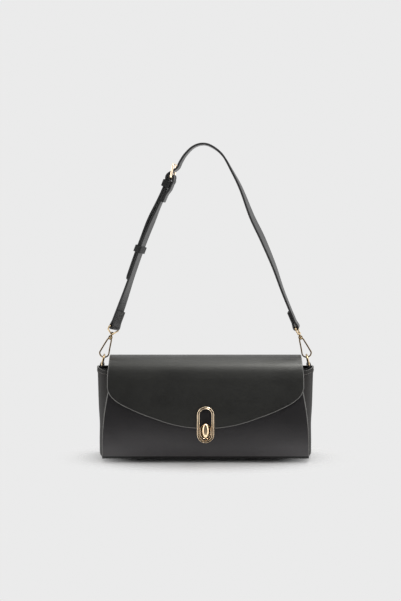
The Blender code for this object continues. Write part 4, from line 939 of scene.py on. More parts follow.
@dataclass
class BodyShell:
    """Front, back, base, gussets and the lining that hangs inside them."""

    shop: Workshop
    form: BodyForm

    def build(self) -> None:
        """Make every piece of the body."""
        self.make_wall("front", self.form.front, self.form.front_half, 1, Look.FRONT)
        self.make_wall("back", self.form.back, self.form.back_half, -1, Look.GUSSET)
        self.make_base()
        for side in Side:
            self.make_gusset(side)
            self.make_hem(side)
        self.make_lining()
        self.make_pocket()

    def make_wall(self, name: str, depth_at: Callable[[float], float],
                  half_at: Callable[[float], float], sense: int, look: Look) -> None:
        """Make the front or back panel, turned under at the base.

        Args:
            name: Start of the names of the piece and of its CAD node.
            depth_at: Y of the panel at a height.
            half_at: Half width of the panel at a height.
            sense: 1 for the front, -1 for the back.
            look: Its leather.
        """
        line = self.form.wall_line(depth_at)
        band = 0.75 * MM

        def place(across: float, row: int) -> Vector:
            """Point of the panel for a share of its half width and a point of its line.

            Args:
                across: Share of the half width, past 1 for the rim.
                row: Number of the point on the line.

            Returns:
                The point.
            """
            y, z = line[row]
            half = half_at(z)
            x = sense * (math.copysign(half, across) if abs(across) > 1 else across * (half - band))
            swell = ease(self.form.share(z) * 6) * ease((1 - abs(across)) * 7)
            wave = math.sin(31 * x + 3 * z / MM / 40) + math.sin(53 * x + z / MM / 17 + 1.3)
            return Vector((x, y - sense * 0.07 * MM * swell * (wave + 2), z))

        columns = [-2.0, *spread(-1.0, 1.0, 64), 2.0]
        bm = bent_grid(columns, range(len(line)), place,
                       lambda column, row: column in (0, len(columns) - 2) and row > 8)
        # Faces of the bottom fold take the dark matte keeper leather as painted shade, where the
        # fold turns under the bag.
        for face in bm.faces:
            if face.calc_center_median().z < self.form.turned:
                face.material_index = 2
        item = self.shop.piece(bm, f"{name}_leather", Body.BAG, (look, Look.EDGE, Look.KEEPER),
                               f"{name}_panel")
        self.shop.wall(item, self.form.panel, 0.4 * MM)

    def make_base(self) -> None:
        """Make the base panel and the stiffener board above it."""
        form = self.form
        width = 2 * (form.half_depth - form.fold - form.fold_lip - GAP)
        length = 2 * (form.front_base - 2 * MM)
        for name, node, look, low, stock, shorter, edge in (
                ("base_leather", "base_panel", Look.GUSSET, 0.0, form.panel, 0.0, 0.4 * MM),
                ("base_board", "base_stiffener", Look.BOARD, form.panel + GAP, form.board,
                 8 * MM, 0.2 * MM)):
            bm = plate(box_outline(length - shorter, width, 2 * MM, 4), stock,
                       Matrix.Translation((0.0, 0.0, low + stock / 2)), edge)
            self.shop.piece(bm, name, Body.BAG, (look,), node)

    def gusset_point(self, side: Side, share: float, z: float, proud: float = 0.0) -> Vector:
        """Point on a gusset's outer face.

        Args:
            side: Side of the bag.
            share: 0 at the front edge, 1 at the back edge.
            z: Height.
            proud: Distance off the face.

        Returns:
            The point.
        """
        form, inset = self.form, self.form.panel + GAP
        front, back = form.front(z, inset) + GAP, form.back(z, inset) - GAP
        fold = math.exp(-((share - 0.5) / 0.16) ** 2) * (0.35 + 0.65 * form.share(z))
        x = form.gusset_half(z, share) - 0.9 * MM * fold + proud
        return Vector((side * x, front + (back - front) * share, z))

    def gusset_sheet(self, side: Side, proud: float, shares: Sequence[float],
                     heights: Sequence[float], banded: bool) -> BMesh:
        """Open sheet on a gusset.

        Args:
            side: Side of the bag.
            proud: Distance off the gusset's face.
            shares: Where its columns stand, from front to back.
            heights: Where its rows stand.
            banded: Whether its outermost columns take the second material.

        Returns:
            The sheet, which faces outwards.
        """
        return bent_grid(
            shares, heights,
            lambda share, z: self.gusset_point(side, share if side > 0 else 1 - share, z, proud),
            lambda column, row: banded and column in (0, len(shares) - 2))

    def make_gusset(self, side: Side) -> None:
        """Make a gusset with a soft fold down its middle.

        Args:
            side: Side of the bag.
        """
        heights = spread(self.form.panel + GAP, self.form.height, 30)
        shares = [0.0, 0.012, *spread(0.03, 0.97, 26), 0.988, 1.0]
        item = self.shop.piece(self.gusset_sheet(side, 0.0, shares, heights, True),
                               f"gusset_leather_{side.label}", Body.BAG,
                               (Look.GUSSET, Look.EDGE), f"gusset_{side.label}")
        self.shop.wall(item, self.form.gusset, 0.3 * MM)

    def make_hem(self, side: Side) -> None:
        """Make the turned hem at the top of a gusset, with its row of stitches.

        Args:
            side: Side of the bag.
        """
        top = self.form.height
        heights = [top - 6.2 * MM, top - 6.0 * MM, *spread(top - 5.5 * MM, top, 5)]
        bm = self.gusset_sheet(side, 0.55 * MM, spread(0.015, 0.985, 28), heights, False)
        item = self.shop.piece(bm, f"gusset_hem_{side.label}", Body.BAG,
                               (Look.GUSSET, Look.STRAP_EDGE))
        self.shop.wall(item, 0.5 * MM, 0.2 * MM)
        line = [self.gusset_point(side, share, top - 4.2 * MM, 0.6 * MM)
                for share in spread(0.03, 0.97, 60)]
        self.shop.piece(thread_row(line, X_AXIS * side, 3.1, 2.4, 0.28),
                        f"hem_stitches_{side.label}", Body.BAG, (Look.HEM_THREAD,))

    def lining_point(self, turn: float, z: float) -> Vector:
        """Point of the lining's outer face.

        Args:
            turn: Way round the bag from 0 to 1, counterclockwise from the right.
            z: Height.

        Returns:
            The point.
        """
        form, inset = self.form, self.form.panel + self.form.standoff
        outline = box_outline(2.0, 2.0, 0.12, 5)
        position = (turn * len(outline)) % len(outline)
        start, end = outline[int(position)], outline[(int(position) + 1) % len(outline)]
        u, v = Vector(start).lerp(Vector(end), position - int(position))
        front, back = form.front(z, inset), form.back(z, inset)
        narrow, wide = form.front_half(z), form.back_half(z)
        half = narrow + (wide - narrow) * (v + 1) / 2 - form.side_standoff
        return Vector((u * half, front + (back - front) * (v + 1) / 2, z))

    def make_lining(self) -> None:
        """Make the lining, an open box of cloth with soft folds."""
        form = self.form
        floor, top = form.panel + form.board + 2 * GAP, form.height - 3.0 * MM

        def place(turn: float, z: float) -> Vector:
            """Point of the cloth for a share of the way round and a height.

            Args:
                turn: Way round the bag from 0 to 1.
                z: Height.

            Returns:
                The point.
            """
            point = self.lining_point(turn, z)
            inward = Vector((-point.x * 0.1, -point.y, 0.0)).normalized()
            loose = math.sin(math.pi * (z - floor) / (top - floor))
            wave = 1 + math.sin(point.x * 140 + z * 60) * math.sin(z * 90 + point.x * 30)
            return point + inward * loose * wave * 0.35 * MM

        bm = bent_grid(spread(0.0, 1.0, 144), spread(floor, top, 26), place)
        bmesh.ops.remove_doubles(bm, verts=bm.verts, dist=WELD)
        foot = [edge for edge in bm.edges if edge.is_boundary
                and max(vertex.co.z for vertex in edge.verts) < floor + MM]
        bmesh.ops.holes_fill(bm, edges=foot)
        bmesh.ops.recalc_face_normals(bm, faces=bm.faces)
        item = self.shop.piece(bm, "lining_cloth", Body.BAG, (Look.CLOTH,), "lining")
        self.shop.wall(item, form.cloth)

    def make_pocket(self) -> None:
        """Make the slip pocket on the lining's back wall, with its stitches."""
        form = self.form
        inset = form.panel + form.standoff + form.cloth + GAP
        top, bottom = form.height - 22.0 * MM, form.height - 84.0 * MM

        def place(x: float, z: float) -> Vector:
            """Point of the pocket's outer face."""
            lift = ease((z - bottom) / (top - bottom)) * (1 - (x / (65 * MM)) ** 2) * 0.8 * MM
            return Vector((x, form.back(z, inset + 0.4 * MM) - lift, z))

        bm = bent_grid(spread(-65 * MM, 65 * MM, 36), spread(bottom, top, 18), place)
        item = self.shop.piece(bm, "pocket_cloth", Body.BAG, (Look.CLOTH,), "inner_pocket")
        self.shop.wall(item, form.cloth, 0.0, 1.0)
        high, low = top - 3 * MM, bottom + 2 * MM
        rows = [[(x, z) for x in spread(-62 * MM, 62 * MM, 30)] for z in (high, low)]
        rows += [[(x, z) for z in spread(low, high, 20)] for x in (-63 * MM, 63 * MM)]
        stitches = [thread_row([place(x, z) - Y_AXIS * form.cloth for x, z in row], -Y_AXIS,
                               3.0, 2.3, 0.2) for row in rows]
        self.shop.piece(joined(stitches), "pocket_stitches", Body.BAG, (Look.THREAD,),
                        slot=Slot.LINING)


# Flap


@dataclass
class FlapForm:
    """Line of the flap over the back, the crown and the front."""

    body: BodyForm
    leather: float = 1.2 * MM
    clearance: float = 0.9 * MM
    crown_rise: float = 17.2 * MM
    crown_half: float = 120.5 * MM
    front_half: float = 122.25 * MM
    side_length: float = 34.2 * MM
    point_length: float = 85.0 * MM
    crown: tuple[Point2, ...] = (
        (0.932, 0.0), (0.91, 0.17), (0.83, 0.42), (0.652, 0.715), (0.439, 0.919), (0.273, 1.0),
        (0.0, 1.01), (-0.303, 0.895), (-0.539, 0.634), (-0.691, 0.256))
    edge: tuple[Point2, ...] = (
        (0.0, 1.0), (0.127, 0.99), (0.259, 0.946), (0.397, 0.864), (0.534, 0.75), (0.67, 0.63),
        (0.808, 0.48), (0.875, 0.395), (0.925, 0.31), (0.96, 0.23), (0.983, 0.145),
        (0.995, 0.07), (1.0, 0.0))
    tail: tuple[float, ...] = (1.0, 0.62, 0.26)
    fall: tuple[float, ...] = (0.955, 0.88, 0.8, 0.7, 0.6, 0.5, 0.4, 0.33, 0.26, 0.19, 0.12)
    steps: int = 16

    def __post_init__(self) -> None:
        """Lay the line through its points and find the two places where it bends."""
        body, points = self.body, []
        standoff = self.clearance + self.under + body.cloth
        for z in (body.height - 16.0 * MM * share for share in self.tail):
            points.append(Vector((0.0, body.back(z) + GAP + self.leather, z)))
        for depth, rise in self.crown:
            z = body.height + self.crown_rise * rise
            points.append(Vector((0.0, body.half_depth * depth, z)))
        for z in (body.height * share for share in self.fall):
            points.append(Vector((0.0, body.front(z) - standoff, z)))
        self.samples = smooth_line(points, self.steps)
        self.hinge, self.bend = len(self.tail) + 5.0, len(self.tail) + 9.0
        self.split = (self.hinge + self.bend) / 2

    @property
    def under(self) -> float:
        """Depth of the lining's outer face below the leather's."""
        return self.leather + GAP

    def at(self, position: float, inset: float = 0.0) -> Vector:
        """Point of the line at a position on its list of points, an inset below the face.

        Args:
            position: Position on the list of points.
            inset: Distance below the outer face.

        Returns:
            The point.
        """
        scaled = position * self.steps
        index = min(int(scaled), len(self.samples) - 2)
        first, second = self.samples[index], self.samples[index + 1]
        return first + (second - first) * (scaled - index) + self.inward(position) * inset

    def inward(self, position: float) -> Vector:
        """Direction into the flap at a position.

        Args:
            position: Position on the list of points.

        Returns:
            The direction.
        """
        index = min(int(position * self.steps), len(self.samples) - 2)
        before = self.samples[max(index - 1, 0)]
        along = (self.samples[min(index + 2, len(self.samples) - 1)] - before).normalized()
        inward = Vector((0.0, along.z, -along.y))
        middle = Vector((0.0, 0.0, self.body.height / 2))
        return -inward if inward.dot(middle - before) < 0 else inward

    def position_at(self, height: float) -> float:
        """Position on the front where the line passes a height.

        Args:
            height: Height on the front.

        Returns:
            The position.
        """
        for index in range(int(self.bend * self.steps), len(self.samples) - 1):
            first, second = self.samples[index], self.samples[index + 1]
            if second.z <= height:
                return (index + (first.z - height) / (first.z - second.z)) / self.steps
        return (len(self.samples) - 1) / self.steps

    def half(self, point: Vector) -> float:
        """Half the width of the flap at a point of its line."""
        flare = ease((self.body.height + self.crown_rise - point.z) / (24.0 * MM))
        return self.crown_half + (self.front_half - self.crown_half) * flare * (point.y <= 0)

    def rim_line(self, pitch: float) -> list[Point2]:
        """Lay evenly spaced points on the curved lower edge.

        Args:
            pitch: Distance between two points.

        Returns:
            (x, z) points from the left corner to the right corner.
        """
        line = []
        side = self.body.height + self.crown_rise - self.side_length
        for row in smooth_line([Vector((*spot, 0.0)) for spot in self.edge], 12):
            z = side - (self.point_length - self.side_length) * row.y
            line.append(Vector((row.x * self.half(self.at(self.position_at(z))), z, 0.0)))
        even = [(place.x, place.y) for place in even_line(line, pitch)]
        return [(-x, z) for x, z in reversed(even[1:])] + even


@dataclass
class Flap:
    """Flap of leather and lining, each in a back part and a front part."""

    shop: Workshop
    form: FlapForm

    def build(self, notch: Callable[[float], BMesh]) -> None:
        """Make the flap.

        Args:
            notch: Makes the cutter for the lock's window, grown by a margin.
        """
        form = self.form
        leather = (form.leather, (Look.FLAP, Look.EDGE))
        lining = (form.body.cloth, (Look.INSIDE,))
        backs = [self.settled(self.back_sheet(0.0, 0.0, True), *leather, "flap_back_leather",
                              "flap_tail")]
        self.make_back_stitches()
        backs.append(self.settled(self.back_sheet(len(form.tail) + 0.6, form.under, False),
                                  *lining, "flap_back_lining", "flap_tail_lining"))
        fronts = [self.settled(self.front_sheet(0.0, True), *leather, "flap_front_leather",
                               "flap_top_panel flap_front_panel"),
                  self.settled(self.front_sheet(form.under, False), *lining,
                               "flap_front_underside", "flap_top_lining flap_front_lining")]
        for item, margin in zip(fronts, (0.3 * MM, 3.3 * MM)):
            self.shop.carve(item, notch(margin))
        reach = 0.5
        for items, first, second, middle in (
                (backs, Body.BAG, Body.FLAP_TOP, form.hinge),
                (fronts, Body.FLAP_TOP, Body.FLAP_FRONT, form.bend)):
            for item in items:
                tuple(form.at(middle - reach))
                tuple(form.at(middle + reach))
                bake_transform(item)

    def settled(self, bm: BMesh, stock: float, looks: Sequence[Look], name: str,
                nodes: str) -> Object:
        """Make a layer of the flap from its sheet.

        Args:
            bm: The sheet.
            stock: Thickness.
            looks: Its finishes.
            name: Name of the piece.
            nodes: CAD nodes that it replaces.

        Returns:
            The piece.
        """
        item = self.shop.piece(bm, name, None, looks, nodes)
        self.shop.wall(item, stock, 0.3 * MM)
        self.shop.settle(item)
        return item

    def back_sheet(self, start: float, inset: float, banded: bool) -> BMesh:
        """Sheet of the flap from the back panel to the crown.

        Args:
            start: Position on the line where it starts.
            inset: Distance below the flap's outer face.
            banded: Whether its sides take the second material.

        Returns:
            The open sheet.
        """
        band = 0.7 * MM

        def place(across: float, position: float) -> Vector:
            """Point of the layer.

            Args:
                across: Share of the half width, past 1 for the rim.
                position: Position on the flap's line.

            Returns:
                The point.
            """
            point = self.form.at(position, inset)
            half = self.form.half(self.form.at(position))
            x = math.copysign(half, across) if abs(across) > 1 else across * (half - band)
            return Vector((-x, point.y, point.z))

        columns = [-2.0, *spread(-1.0, 1.0, 48), 2.0]
        return bent_grid(columns, spread(start, self.form.split, 60), place,
                         lambda column, row: banded and column in (0, len(columns) - 2))

    def make_back_stitches(self) -> None:
        """Sew the flap's tail to the back panel with two rows."""
        rows = []
        for point in (self.form.at(position) for position in (0.22, 1.35)):
            line = [Vector((x, point.y, point.z)) for x in spread(-117 * MM, 117 * MM, 40)]
            rows.append(thread_row(line, Y_AXIS, 3.1, 2.4, 0.26))
        self.shop.piece(joined(rows), "flap_tail_stitches", Body.BAG, (Look.THREAD,))

    def front_sheet(self, inset: float, banded: bool) -> BMesh:
        """Sheet of the flap from the crown to its curved lower edge.

        Args:
            inset: Distance below the flap's outer face.
            banded: Whether its edge takes the second material.

        Returns:
            The open sheet.
        """
        form = self.form
        band = 0.8 * MM
        rim = form.rim_line(2.6 * MM)
        crown_rows, front_rows = 26, 44
        top = form.at(form.bend).z
        last_row, last_column = crown_rows + front_rows, len(rim) + 1

        def place(column: int, row: int) -> Vector:
            """Point of the layer for a column and a row of the grid.

            Args:
                column: Column of the grid.
                row: Row of the grid.

            Returns:
                The point.
            """
            spot = min(max(column - 1, 0), len(rim) - 1)
            before, after = around(rim, spot)
            run = Vector((after[0] - before[0], after[1] - before[1])).normalized()
            x, foot = rim[spot][0] - run.y * band, rim[spot][1] + run.x * band
            limit = form.half(form.at(form.position_at(foot))) - band
            if row <= crown_rows:
                position = form.split + (form.bend - form.split) * row / crown_rows
            elif row == last_row:
                position = form.position_at(rim[spot][1])
            else:
                way = (row - crown_rows) / (front_rows - 1)
                position = form.position_at(top + (foot - top) * way)
            point, half = form.at(position, inset), form.half(form.at(position))
            x = min(max(x / limit, -1.0), 1.0) * (half - band)
            if row == last_row:
                x = rim[spot][0]
            elif column in (0, last_column):
                x = half if column else -half
            return Vector((-x, point.y, point.z))

        bm = bent_grid(range(last_column + 1), range(last_row + 1), place, lambda column, row:
                       banded and (column in (0, last_column - 1) or row == last_row - 1))
        bmesh.ops.remove_doubles(bm, verts=bm.verts, dist=WELD)
        return bm


# Turn lock


@dataclass
class TurnLock:
    """Oval ring on the flap, and the base plate and knob on the front panel."""

    shop: Workshop
    body: BodyForm
    flap: FlapForm
    width: float = 21.4 * MM
    height: float = 45.9 * MM
    band: float = 3.3 * MM
    depth: float = 2.6 * MM
    centre: float = 45.3 * MM
    standoff: float = 0.4 * MM
    spindle: float = 38.616 * MM
    plate: float = 19.4 * MM
    knob_width: float = 8.7 * MM
    knob_length: float = 19.0 * MM
    knob_dome: float = 4.4 * MM

    def ring_frame(self, inset: float = 0.0) -> Matrix:
        """Frame on the ring's back plane, moved back by an inset.

        Args:
            inset: Distance by which it is moved back.

        Returns:
            The frame.
        """
        low = self.centre - self.height / 2
        seat = [self.flap.at(self.flap.position_at(height))
                for height in spread(low, low + self.height, 8)]
        up = (seat[-1] - seat[0]).normalized()
        out = Vector((0.0, -up.z, up.y))
        middle = (seat[0] + seat[-1]) / 2
        proud = max((place - middle).dot(out) for place in seat)
        centre = middle + up * (self.centre - middle.z) / up.z
        return axes_at(centre + out * (proud + self.standoff - inset), X_AXIS, up, out)

    def notch(self, margin: float) -> BMesh:
        """Cutter for the window in the flap, larger than the ring's opening by a margin.

        Args:
            margin: How far it goes past the ring's opening.

        Returns:
            The cutter.
        """
        outline = slot_outline(self.width - 2 * self.band + 2 * margin,
                               self.height - 2 * self.band + 2 * margin, 16)
        return plate(outline, 12 * MM, self.ring_frame(), 0.05 * MM)

    def build(self) -> None:
        """Make the lock."""
        self.make_ring()
        self.make_backing()
        self.make_base_plate()
        self.make_knob()

    def stations(self, steps: int) -> list[Matrix]:
        """Frames round the middle of the ring's band, with X outwards and Y off the flap.

        Args:
            steps: Steps round each end of the ring.

        Returns:
            The frames.
        """
        frames, straight = [], (self.height - self.width) / 2
        for x, y in slot_outline(self.width - self.band, self.height - self.band, steps):
            outward = Vector((x, y - math.copysign(min(abs(y), straight), y), 0.0)).normalized()
            frames.append(self.ring_frame() @ axes_at(Vector((x, y, 0.0)), outward, Z_AXIS,
                                                      outward.cross(Z_AXIS)))
        return frames

    def make_ring(self) -> None:
        """Make the ring with its two ridges and the groove between them."""
        ridge = ((0.5, 0.0), (0.5, 0.5), (0.47, 0.72), (0.41, 0.9), (0.33, 0.99), (0.25, 0.97),
                 (0.19, 0.84), (0.15, 0.62))
        section = [(-share, rise) for share, rise in ridge] + list(reversed(ridge))
        outline = [(share * self.band, rise * self.depth) for share, rise in section]
        # The groove's faces (outline steps 6 to 8) take the dark gold as painted shade; the ridges
        # keep the pale gold.
        bm = swept(outline, self.stations(40), True, lambda column: column in (6, 7, 8))
        self.shop.piece(bm, "lock_ring_gold", Body.FLAP_FRONT, (Look.GOLD, Look.SHADED_DARK_GOLD),
                        "lock_ring", 60.0)

    def make_backing(self) -> None:
        """Make the plate that clamps the ring from behind."""
        thick, half = 0.35 * MM, self.band / 2 - GAP
        stations = self.stations(24)
        for place in stations:
            seat = self.flap.position_at(place.translation.z)
            place.translation.y = self.flap.at(seat, self.flap.under + thick).y
        outline = [(-half, -thick), (half, -thick), (half, thick), (-half, thick)]
        self.shop.piece(swept(outline, stations, True), "lock_ring_clamp", Body.FLAP_FRONT,
                        (Look.STEEL,), "lock_ring_backing")

    def make_base_plate(self) -> None:
        """Make the gold plate with its raised rim, and the washer inside the panel."""
        length, width = self.plate, self.width - 2 * self.band - 1.1 * MM
        bottom = self.centre - self.height / 2 + self.band + 0.55 * MM
        middle = bottom + length / 2
        face = min(self.body.front(z) for z in spread(bottom, bottom + length, 8)) - GAP
        frame = front_frame(face - 0.5 * MM, middle)
        rim = slot_outline(width - 1.1 * MM, length - 1.1 * MM, 24)
        line = [frame @ Vector((x, y, 0.35 * MM)) for x, y in rim]
        parts = [plate(slot_outline(width, length, 20), 1.0 * MM, frame, 0.25 * MM),
                 tube(line, 0.5 * MM, 10, True)]
        # The plate's face takes the dark gold as painted shade; the rim tube takes the pale gold.
        for face in parts[1].faces:
            face.material_index = 1
        self.shop.piece(joined(parts), "lock_plate_gold", Body.BAG, (Look.SHADED_DARK_GOLD, Look.GOLD),
                        "lock_base_plate")
        inner = GAP + max(self.body.front(z, self.body.panel)
                          for z in spread(middle - 9 * MM, middle + 9 * MM, 8))
        bm = plate(slot_outline(12 * MM, 18 * MM, 16), 0.8 * MM,
                   front_frame(inner + 0.4 * MM, middle), 0.15 * MM)
        self.shop.piece(bm, "lock_washer_steel", Body.BAG, (Look.STEEL,), "lock_washer")

    def make_knob(self) -> None:
        """Make the plain domed oval knob with its collar and spindle."""
        face, front = self.ring_frame(-self.depth), self.body.front(self.spindle)
        up = face.to_3x3() @ Y_AXIS
        drop = (face.translation.z - self.spindle + self.knob_width / 2) / up.z
        under = face.translation.y - up.y * drop - 0.6 * MM
        dome = [(0.0, 0.0), (0.9, 0.0), (0.985, 0.05), (1.0, 0.14)]
        dome += [(math.cos(angle) ** 0.55, 0.14 + 0.86 * math.sin(angle) ** 0.9)
                 for angle in spread(0.0, QUARTER, 14)[1:]]
        size = Matrix.Diagonal((self.knob_width / 2, self.knob_length / 2, self.knob_dome, 1.0))
        post = [Vector((0.0, y, self.spindle))
                for y in (under - self.knob_dome / 2, front + 3.2 * MM)]
        collar = mm((2.0, 0.0), (3.0, 0.0), (3.1, 0.4), (2.4, 1.0), (2.0, 1.0), (2.0, 0.0))
        parts = [turned(dome, front_frame(under, self.spindle) @ size, 48),
                 tube(post, 2.0 * MM, 20),
                 turned(collar, front_frame(front - 1.7 * MM, self.spindle), 28)]
        self.shop.piece(joined(parts), "turn_knob_gold", Body.KNOB, (Look.KNOB_GOLD,),
                        "turn_knob", 50.0)


# Carrying fittings


@dataclass(frozen=True)
class HookForm:
    """Sizes of the D-rings, snap hooks and bails."""

    plane: float = 13.0 * MM
    bar_reach: float = 130.6 * MM
    bar_height: float = 112.0 * MM
    ring_wire: float = 1.3 * MM
    ring_half: float = 8.0 * MM
    ring_rise: float = 12.15 * MM
    ring_corner: float = 2.6 * MM
    reach: float = 127.8 * MM
    tilt: float = math.radians(21.9)
    wire: float = 0.9 * MM
    loop: float = 5.8 * MM
    rivet: float = 21.1 * MM
    eye: float = 1.0 * MM
    bail: float = 14.5 * MM
    bail_half: float = 8.2 * MM
    bail_wire: float = 1.0 * MM
    strap_rise: float = 232.2 * MM

    @property
    def foot(self) -> float:
        """Height of the hook's wire where it hangs on the D-ring."""
        return self.bar_height + self.ring_rise - self.ring_wire - 0.8 * MM - self.wire

    @property
    def span(self) -> float:
        """Distance from the middle plane to the bail's bar."""
        return self.reach - (self.rivet + self.bail) * math.sin(self.tilt)

    @property
    def strap_foot(self) -> float:
        """Height of the bail's bar."""
        return self.foot + self.loop + (self.rivet + self.bail) * math.cos(self.tilt)

    def spot(self, side: Side, outboard: float, depth: float, height: float) -> Vector:
        """Point on a hook.

        Args:
            side: Side of the bag.
            outboard: Distance outwards from the hook's axis.
            depth: Distance towards the back.
            height: Distance up the axis from the middle of the loop.

        Returns:
            The point.
        """
        sine, cosine = math.sin(self.tilt), math.cos(self.tilt)
        x = self.reach + outboard * cosine - height * sine
        z = self.foot + self.loop + outboard * sine + height * cosine
        return Vector((side * x, self.plane + depth, z))

    def axis(self, side: Side) -> Vector:
        """Direction up a hook."""
        return Vector((-side * math.sin(self.tilt), 0.0, math.cos(self.tilt)))

    def eye_frame(self, side: Side, depth: float) -> Matrix:
        """Frame at the rivet with Z to the front."""
        up = self.axis(side)
        return axes_at(self.spot(side, 0.0, depth, self.rivet), up, Y_AXIS.cross(up) * -1, -Y_AXIS)

    def shank_frame(self, side: Side) -> Matrix:
        """Frame at the hook's eye with Z up the hook."""
        up = self.axis(side)
        return axes_at(self.spot(side, 0.0, -self.eye, self.rivet), Y_AXIS.cross(up), Y_AXIS, up)


def leg_width(along: Vector, twist: float) -> Vector:
    """Width direction of a strap leg, towards the back.

    Args:
        along: Direction up the leg.
        twist: Turn of its back edge towards the right, in degrees.

    Returns:
        The direction.
    """
    across = Vector((abs(along.z), 0.0, -along.x * math.copysign(1.0, along.z)))
    turn = math.radians(twist)
    return (Y_AXIS * math.cos(turn) + across * math.sin(turn)).normalized()


def folded_line(length: float, bar: float, stock: float, step: float) -> list[Point2]:
    """Line of a strip folded round a bar.

    Args:
        length: Length of both legs.
        bar: Radius of the bar.
        stock: Thickness of the strip.
        step: Length of a step on the legs.

    Returns:
        (along the legs, across the layers) points.
    """
    near, far = (stock + GAP) / 2, bar + GAP + stock / 2
    reach = 3.0 * far
    count = max(2, math.ceil((length - reach) / step))
    leg = [(along, far + (near - far) * ease(along / reach))
           for along in spread(0.0, reach, 8) + spread(reach, length, count)[1:]]
    arc = [(-far * math.sin(angle), -far * math.cos(angle))
           for angle in spread(0.0, math.pi, 14)[1:-1]]
    return [(along, -height) for along, height in reversed(leg)] + arc + leg


@dataclass
class Fittings:
    """D-rings with their chapes, and the snap hooks with gates and bails."""

    shop: Workshop
    form: HookForm

    def build(self, twists: dict[Side, float]) -> None:
        """Make the fittings of both sides.

        Args:
            twists: Twist of the strap's end at each side, in degrees.
        """
        for side in Side:
            # D-rings, rivets and bails take the half-darkened gold as painted shade; hooks and
            # gates take the dark gold, partly their darker plating and partly painted shade.
            hook, gold = f"hook_{side.label}", (Look.SHADED_MID_GOLD,)
            for bm, name, body, looks, node, sharp in (
                    (self.d_ring(side), "d_ring_gold", f"d_ring_{side.label}_body", gold,
                     "d_ring", 38.0),
                    (self.chape(side), "chape_leather", Body.BAG, (Look.STRAP, Look.STRAP_EDGE),
                     "chape", 50.0),
                    (self.hook(side), "hook_gold", hook, (Look.SHADED_DARK_GOLD,), "hook_body", 50.0),
                    (self.arm(side, -1, [self.form.spot(side, -self.form.loop, 0.0, 0.8 * MM)]),
                     "gate_gold", f"gate_{side.label}", (Look.SHADED_DARK_GOLD,), "hook_gate", 50.0),
                    (self.rivet(side), "rivet_gold", hook, gold, "hook_rivet", 38.0),
                    (self.bail(side, twists[side]), "bail_gold", Body.STRAP, gold, "bail",
                     50.0)):
                self.shop.piece(bm, f"{name}_{side.label}", body, looks, f"{node}_{side.label}",
                                sharp)

    def d_ring(self, side: Side) -> BMesh:
        """Make a D-ring with a flat bar.

        Args:
            side: Side of the bag.

        Returns:
            The ring.
        """
        form = self.form
        bar = Vector((side * form.bar_reach, form.plane, form.bar_height))
        top = Vector((side * form.reach, form.plane, form.bar_height + form.ring_rise))
        up = (top - bar).normalized()
        rise, corner, line = (top - bar).length, form.ring_corner, []
        for angle in spread(0.0, math.pi, 36):
            reach = math.copysign(abs(math.cos(angle)) ** 0.75, math.cos(angle))
            height = corner + (rise - corner) * math.sin(angle) ** 0.75
            line.append(bar + Y_AXIS * form.ring_half * reach + up * height)
        for sense in (-1, 1):
            for angle in spread(0.0, QUARTER, 6)[1:][::-sense]:
                across = form.ring_half - corner + corner * math.cos(angle)
                line.append(bar + Y_AXIS * across * sense
                            + up * (corner - corner * math.sin(angle)))
        return tube(line, form.ring_wire, 20, True)

    def chape(self, side: Side) -> BMesh:
        """Make the folded leather that holds a D-ring's bar.

        Args:
            side: Side of the bag.

        Returns:
            The chape.
        """
        form, stock = self.form, 1.2 * MM
        bar = Vector((side * form.bar_reach, form.plane, form.bar_height))
        line = folded_line(15 * MM, form.ring_wire, stock, 3 * MM)
        stations = []
        for index, (along, across) in enumerate(line):
            before, after = around(line, index)
            run = Vector((after[1] - before[1], 0.0, -(after[0] - before[0]))).normalized()
            stations.append(axes_at(bar - Z_AXIS * along + X_AXIS * across, Y_AXIS,
                                    run.cross(Y_AXIS), run))
        outline = box_outline(11 * MM, stock, 0.4 * MM, 3)
        return swept(outline, stations, False, lambda column: abs(outline[column][0]) > 5.2 * MM)

    def arm(self, side: Side, out: int, lead: list[Vector], *more: BMesh) -> BMesh:
        """Make a hook's or a gate's bent wire with its eye.

        Args:
            side: Side of the bag.
            out: 1 for the hook, -1 for the gate.
            lead: Points of the wire up to the bend.
            more: Further meshes of the piece.

        Returns:
            The whole piece.
        """
        form = self.form
        bend = [form.spot(side, out * wide, -out * depth, height) for wide, depth, height in (
            (4.15 * MM, 0.0, 8.5 * MM), (2.5 * MM, 0.0, form.rivet - 3.6 * MM),
            (1.85 * MM, form.eye, form.rivet - 2.3 * MM), (0.0, form.eye, form.rivet))]
        line = lead + smooth_line([lead[-1], *bend], 6)[1:]
        disc = mm((0.95, -0.85), (2.4, -0.85), (2.7, -0.6), (2.7, 0.6), (2.4, 0.85),
                  (0.95, 0.85), (0.95, -0.85))
        eye = turned(disc, form.eye_frame(side, -out * form.eye), 32)
        return joined([tube(line, form.wire, 16), eye, *more])

    def hook(self, side: Side) -> BMesh:
        """Make a hook's body: the bent wire, its eye and the shank with its button.

        Args:
            side: Side of the bag.

        Returns:
            The hook's body.
        """
        form = self.form
        lead = [form.spot(side, -form.loop, 0.0, 0.5 * MM)]
        lead += [form.spot(side, form.loop * math.sin(angle), 0.0, -form.loop * math.cos(angle))
                 for angle in map(math.radians, range(-90, 81, 8))]
        shank = mm((0.0, 1.4), (1.3, 1.4), (1.25, 3.2), (1.0, 4.0), (1.0, 6.75), (1.7, 6.8),
                   (1.8, 7.2), (1.2, 7.6), (0.0, 7.7))
        return self.arm(side, 1, lead, turned(shank, form.shank_frame(side), 28))

    def rivet(self, side: Side) -> BMesh:
        """Make the rivet that joins a hook and its gate.

        Args:
            side: Side of the bag.

        Returns:
            The rivet.
        """
        half = mm((0.0, 2.65), (0.9, 2.6), (1.4, 2.35), (1.5, 2.15), (0.7, 2.15))
        profile = [(radius, -height) for radius, height in half] + half[::-1]
        return turned(profile, self.form.eye_frame(side, 0.0), 24)

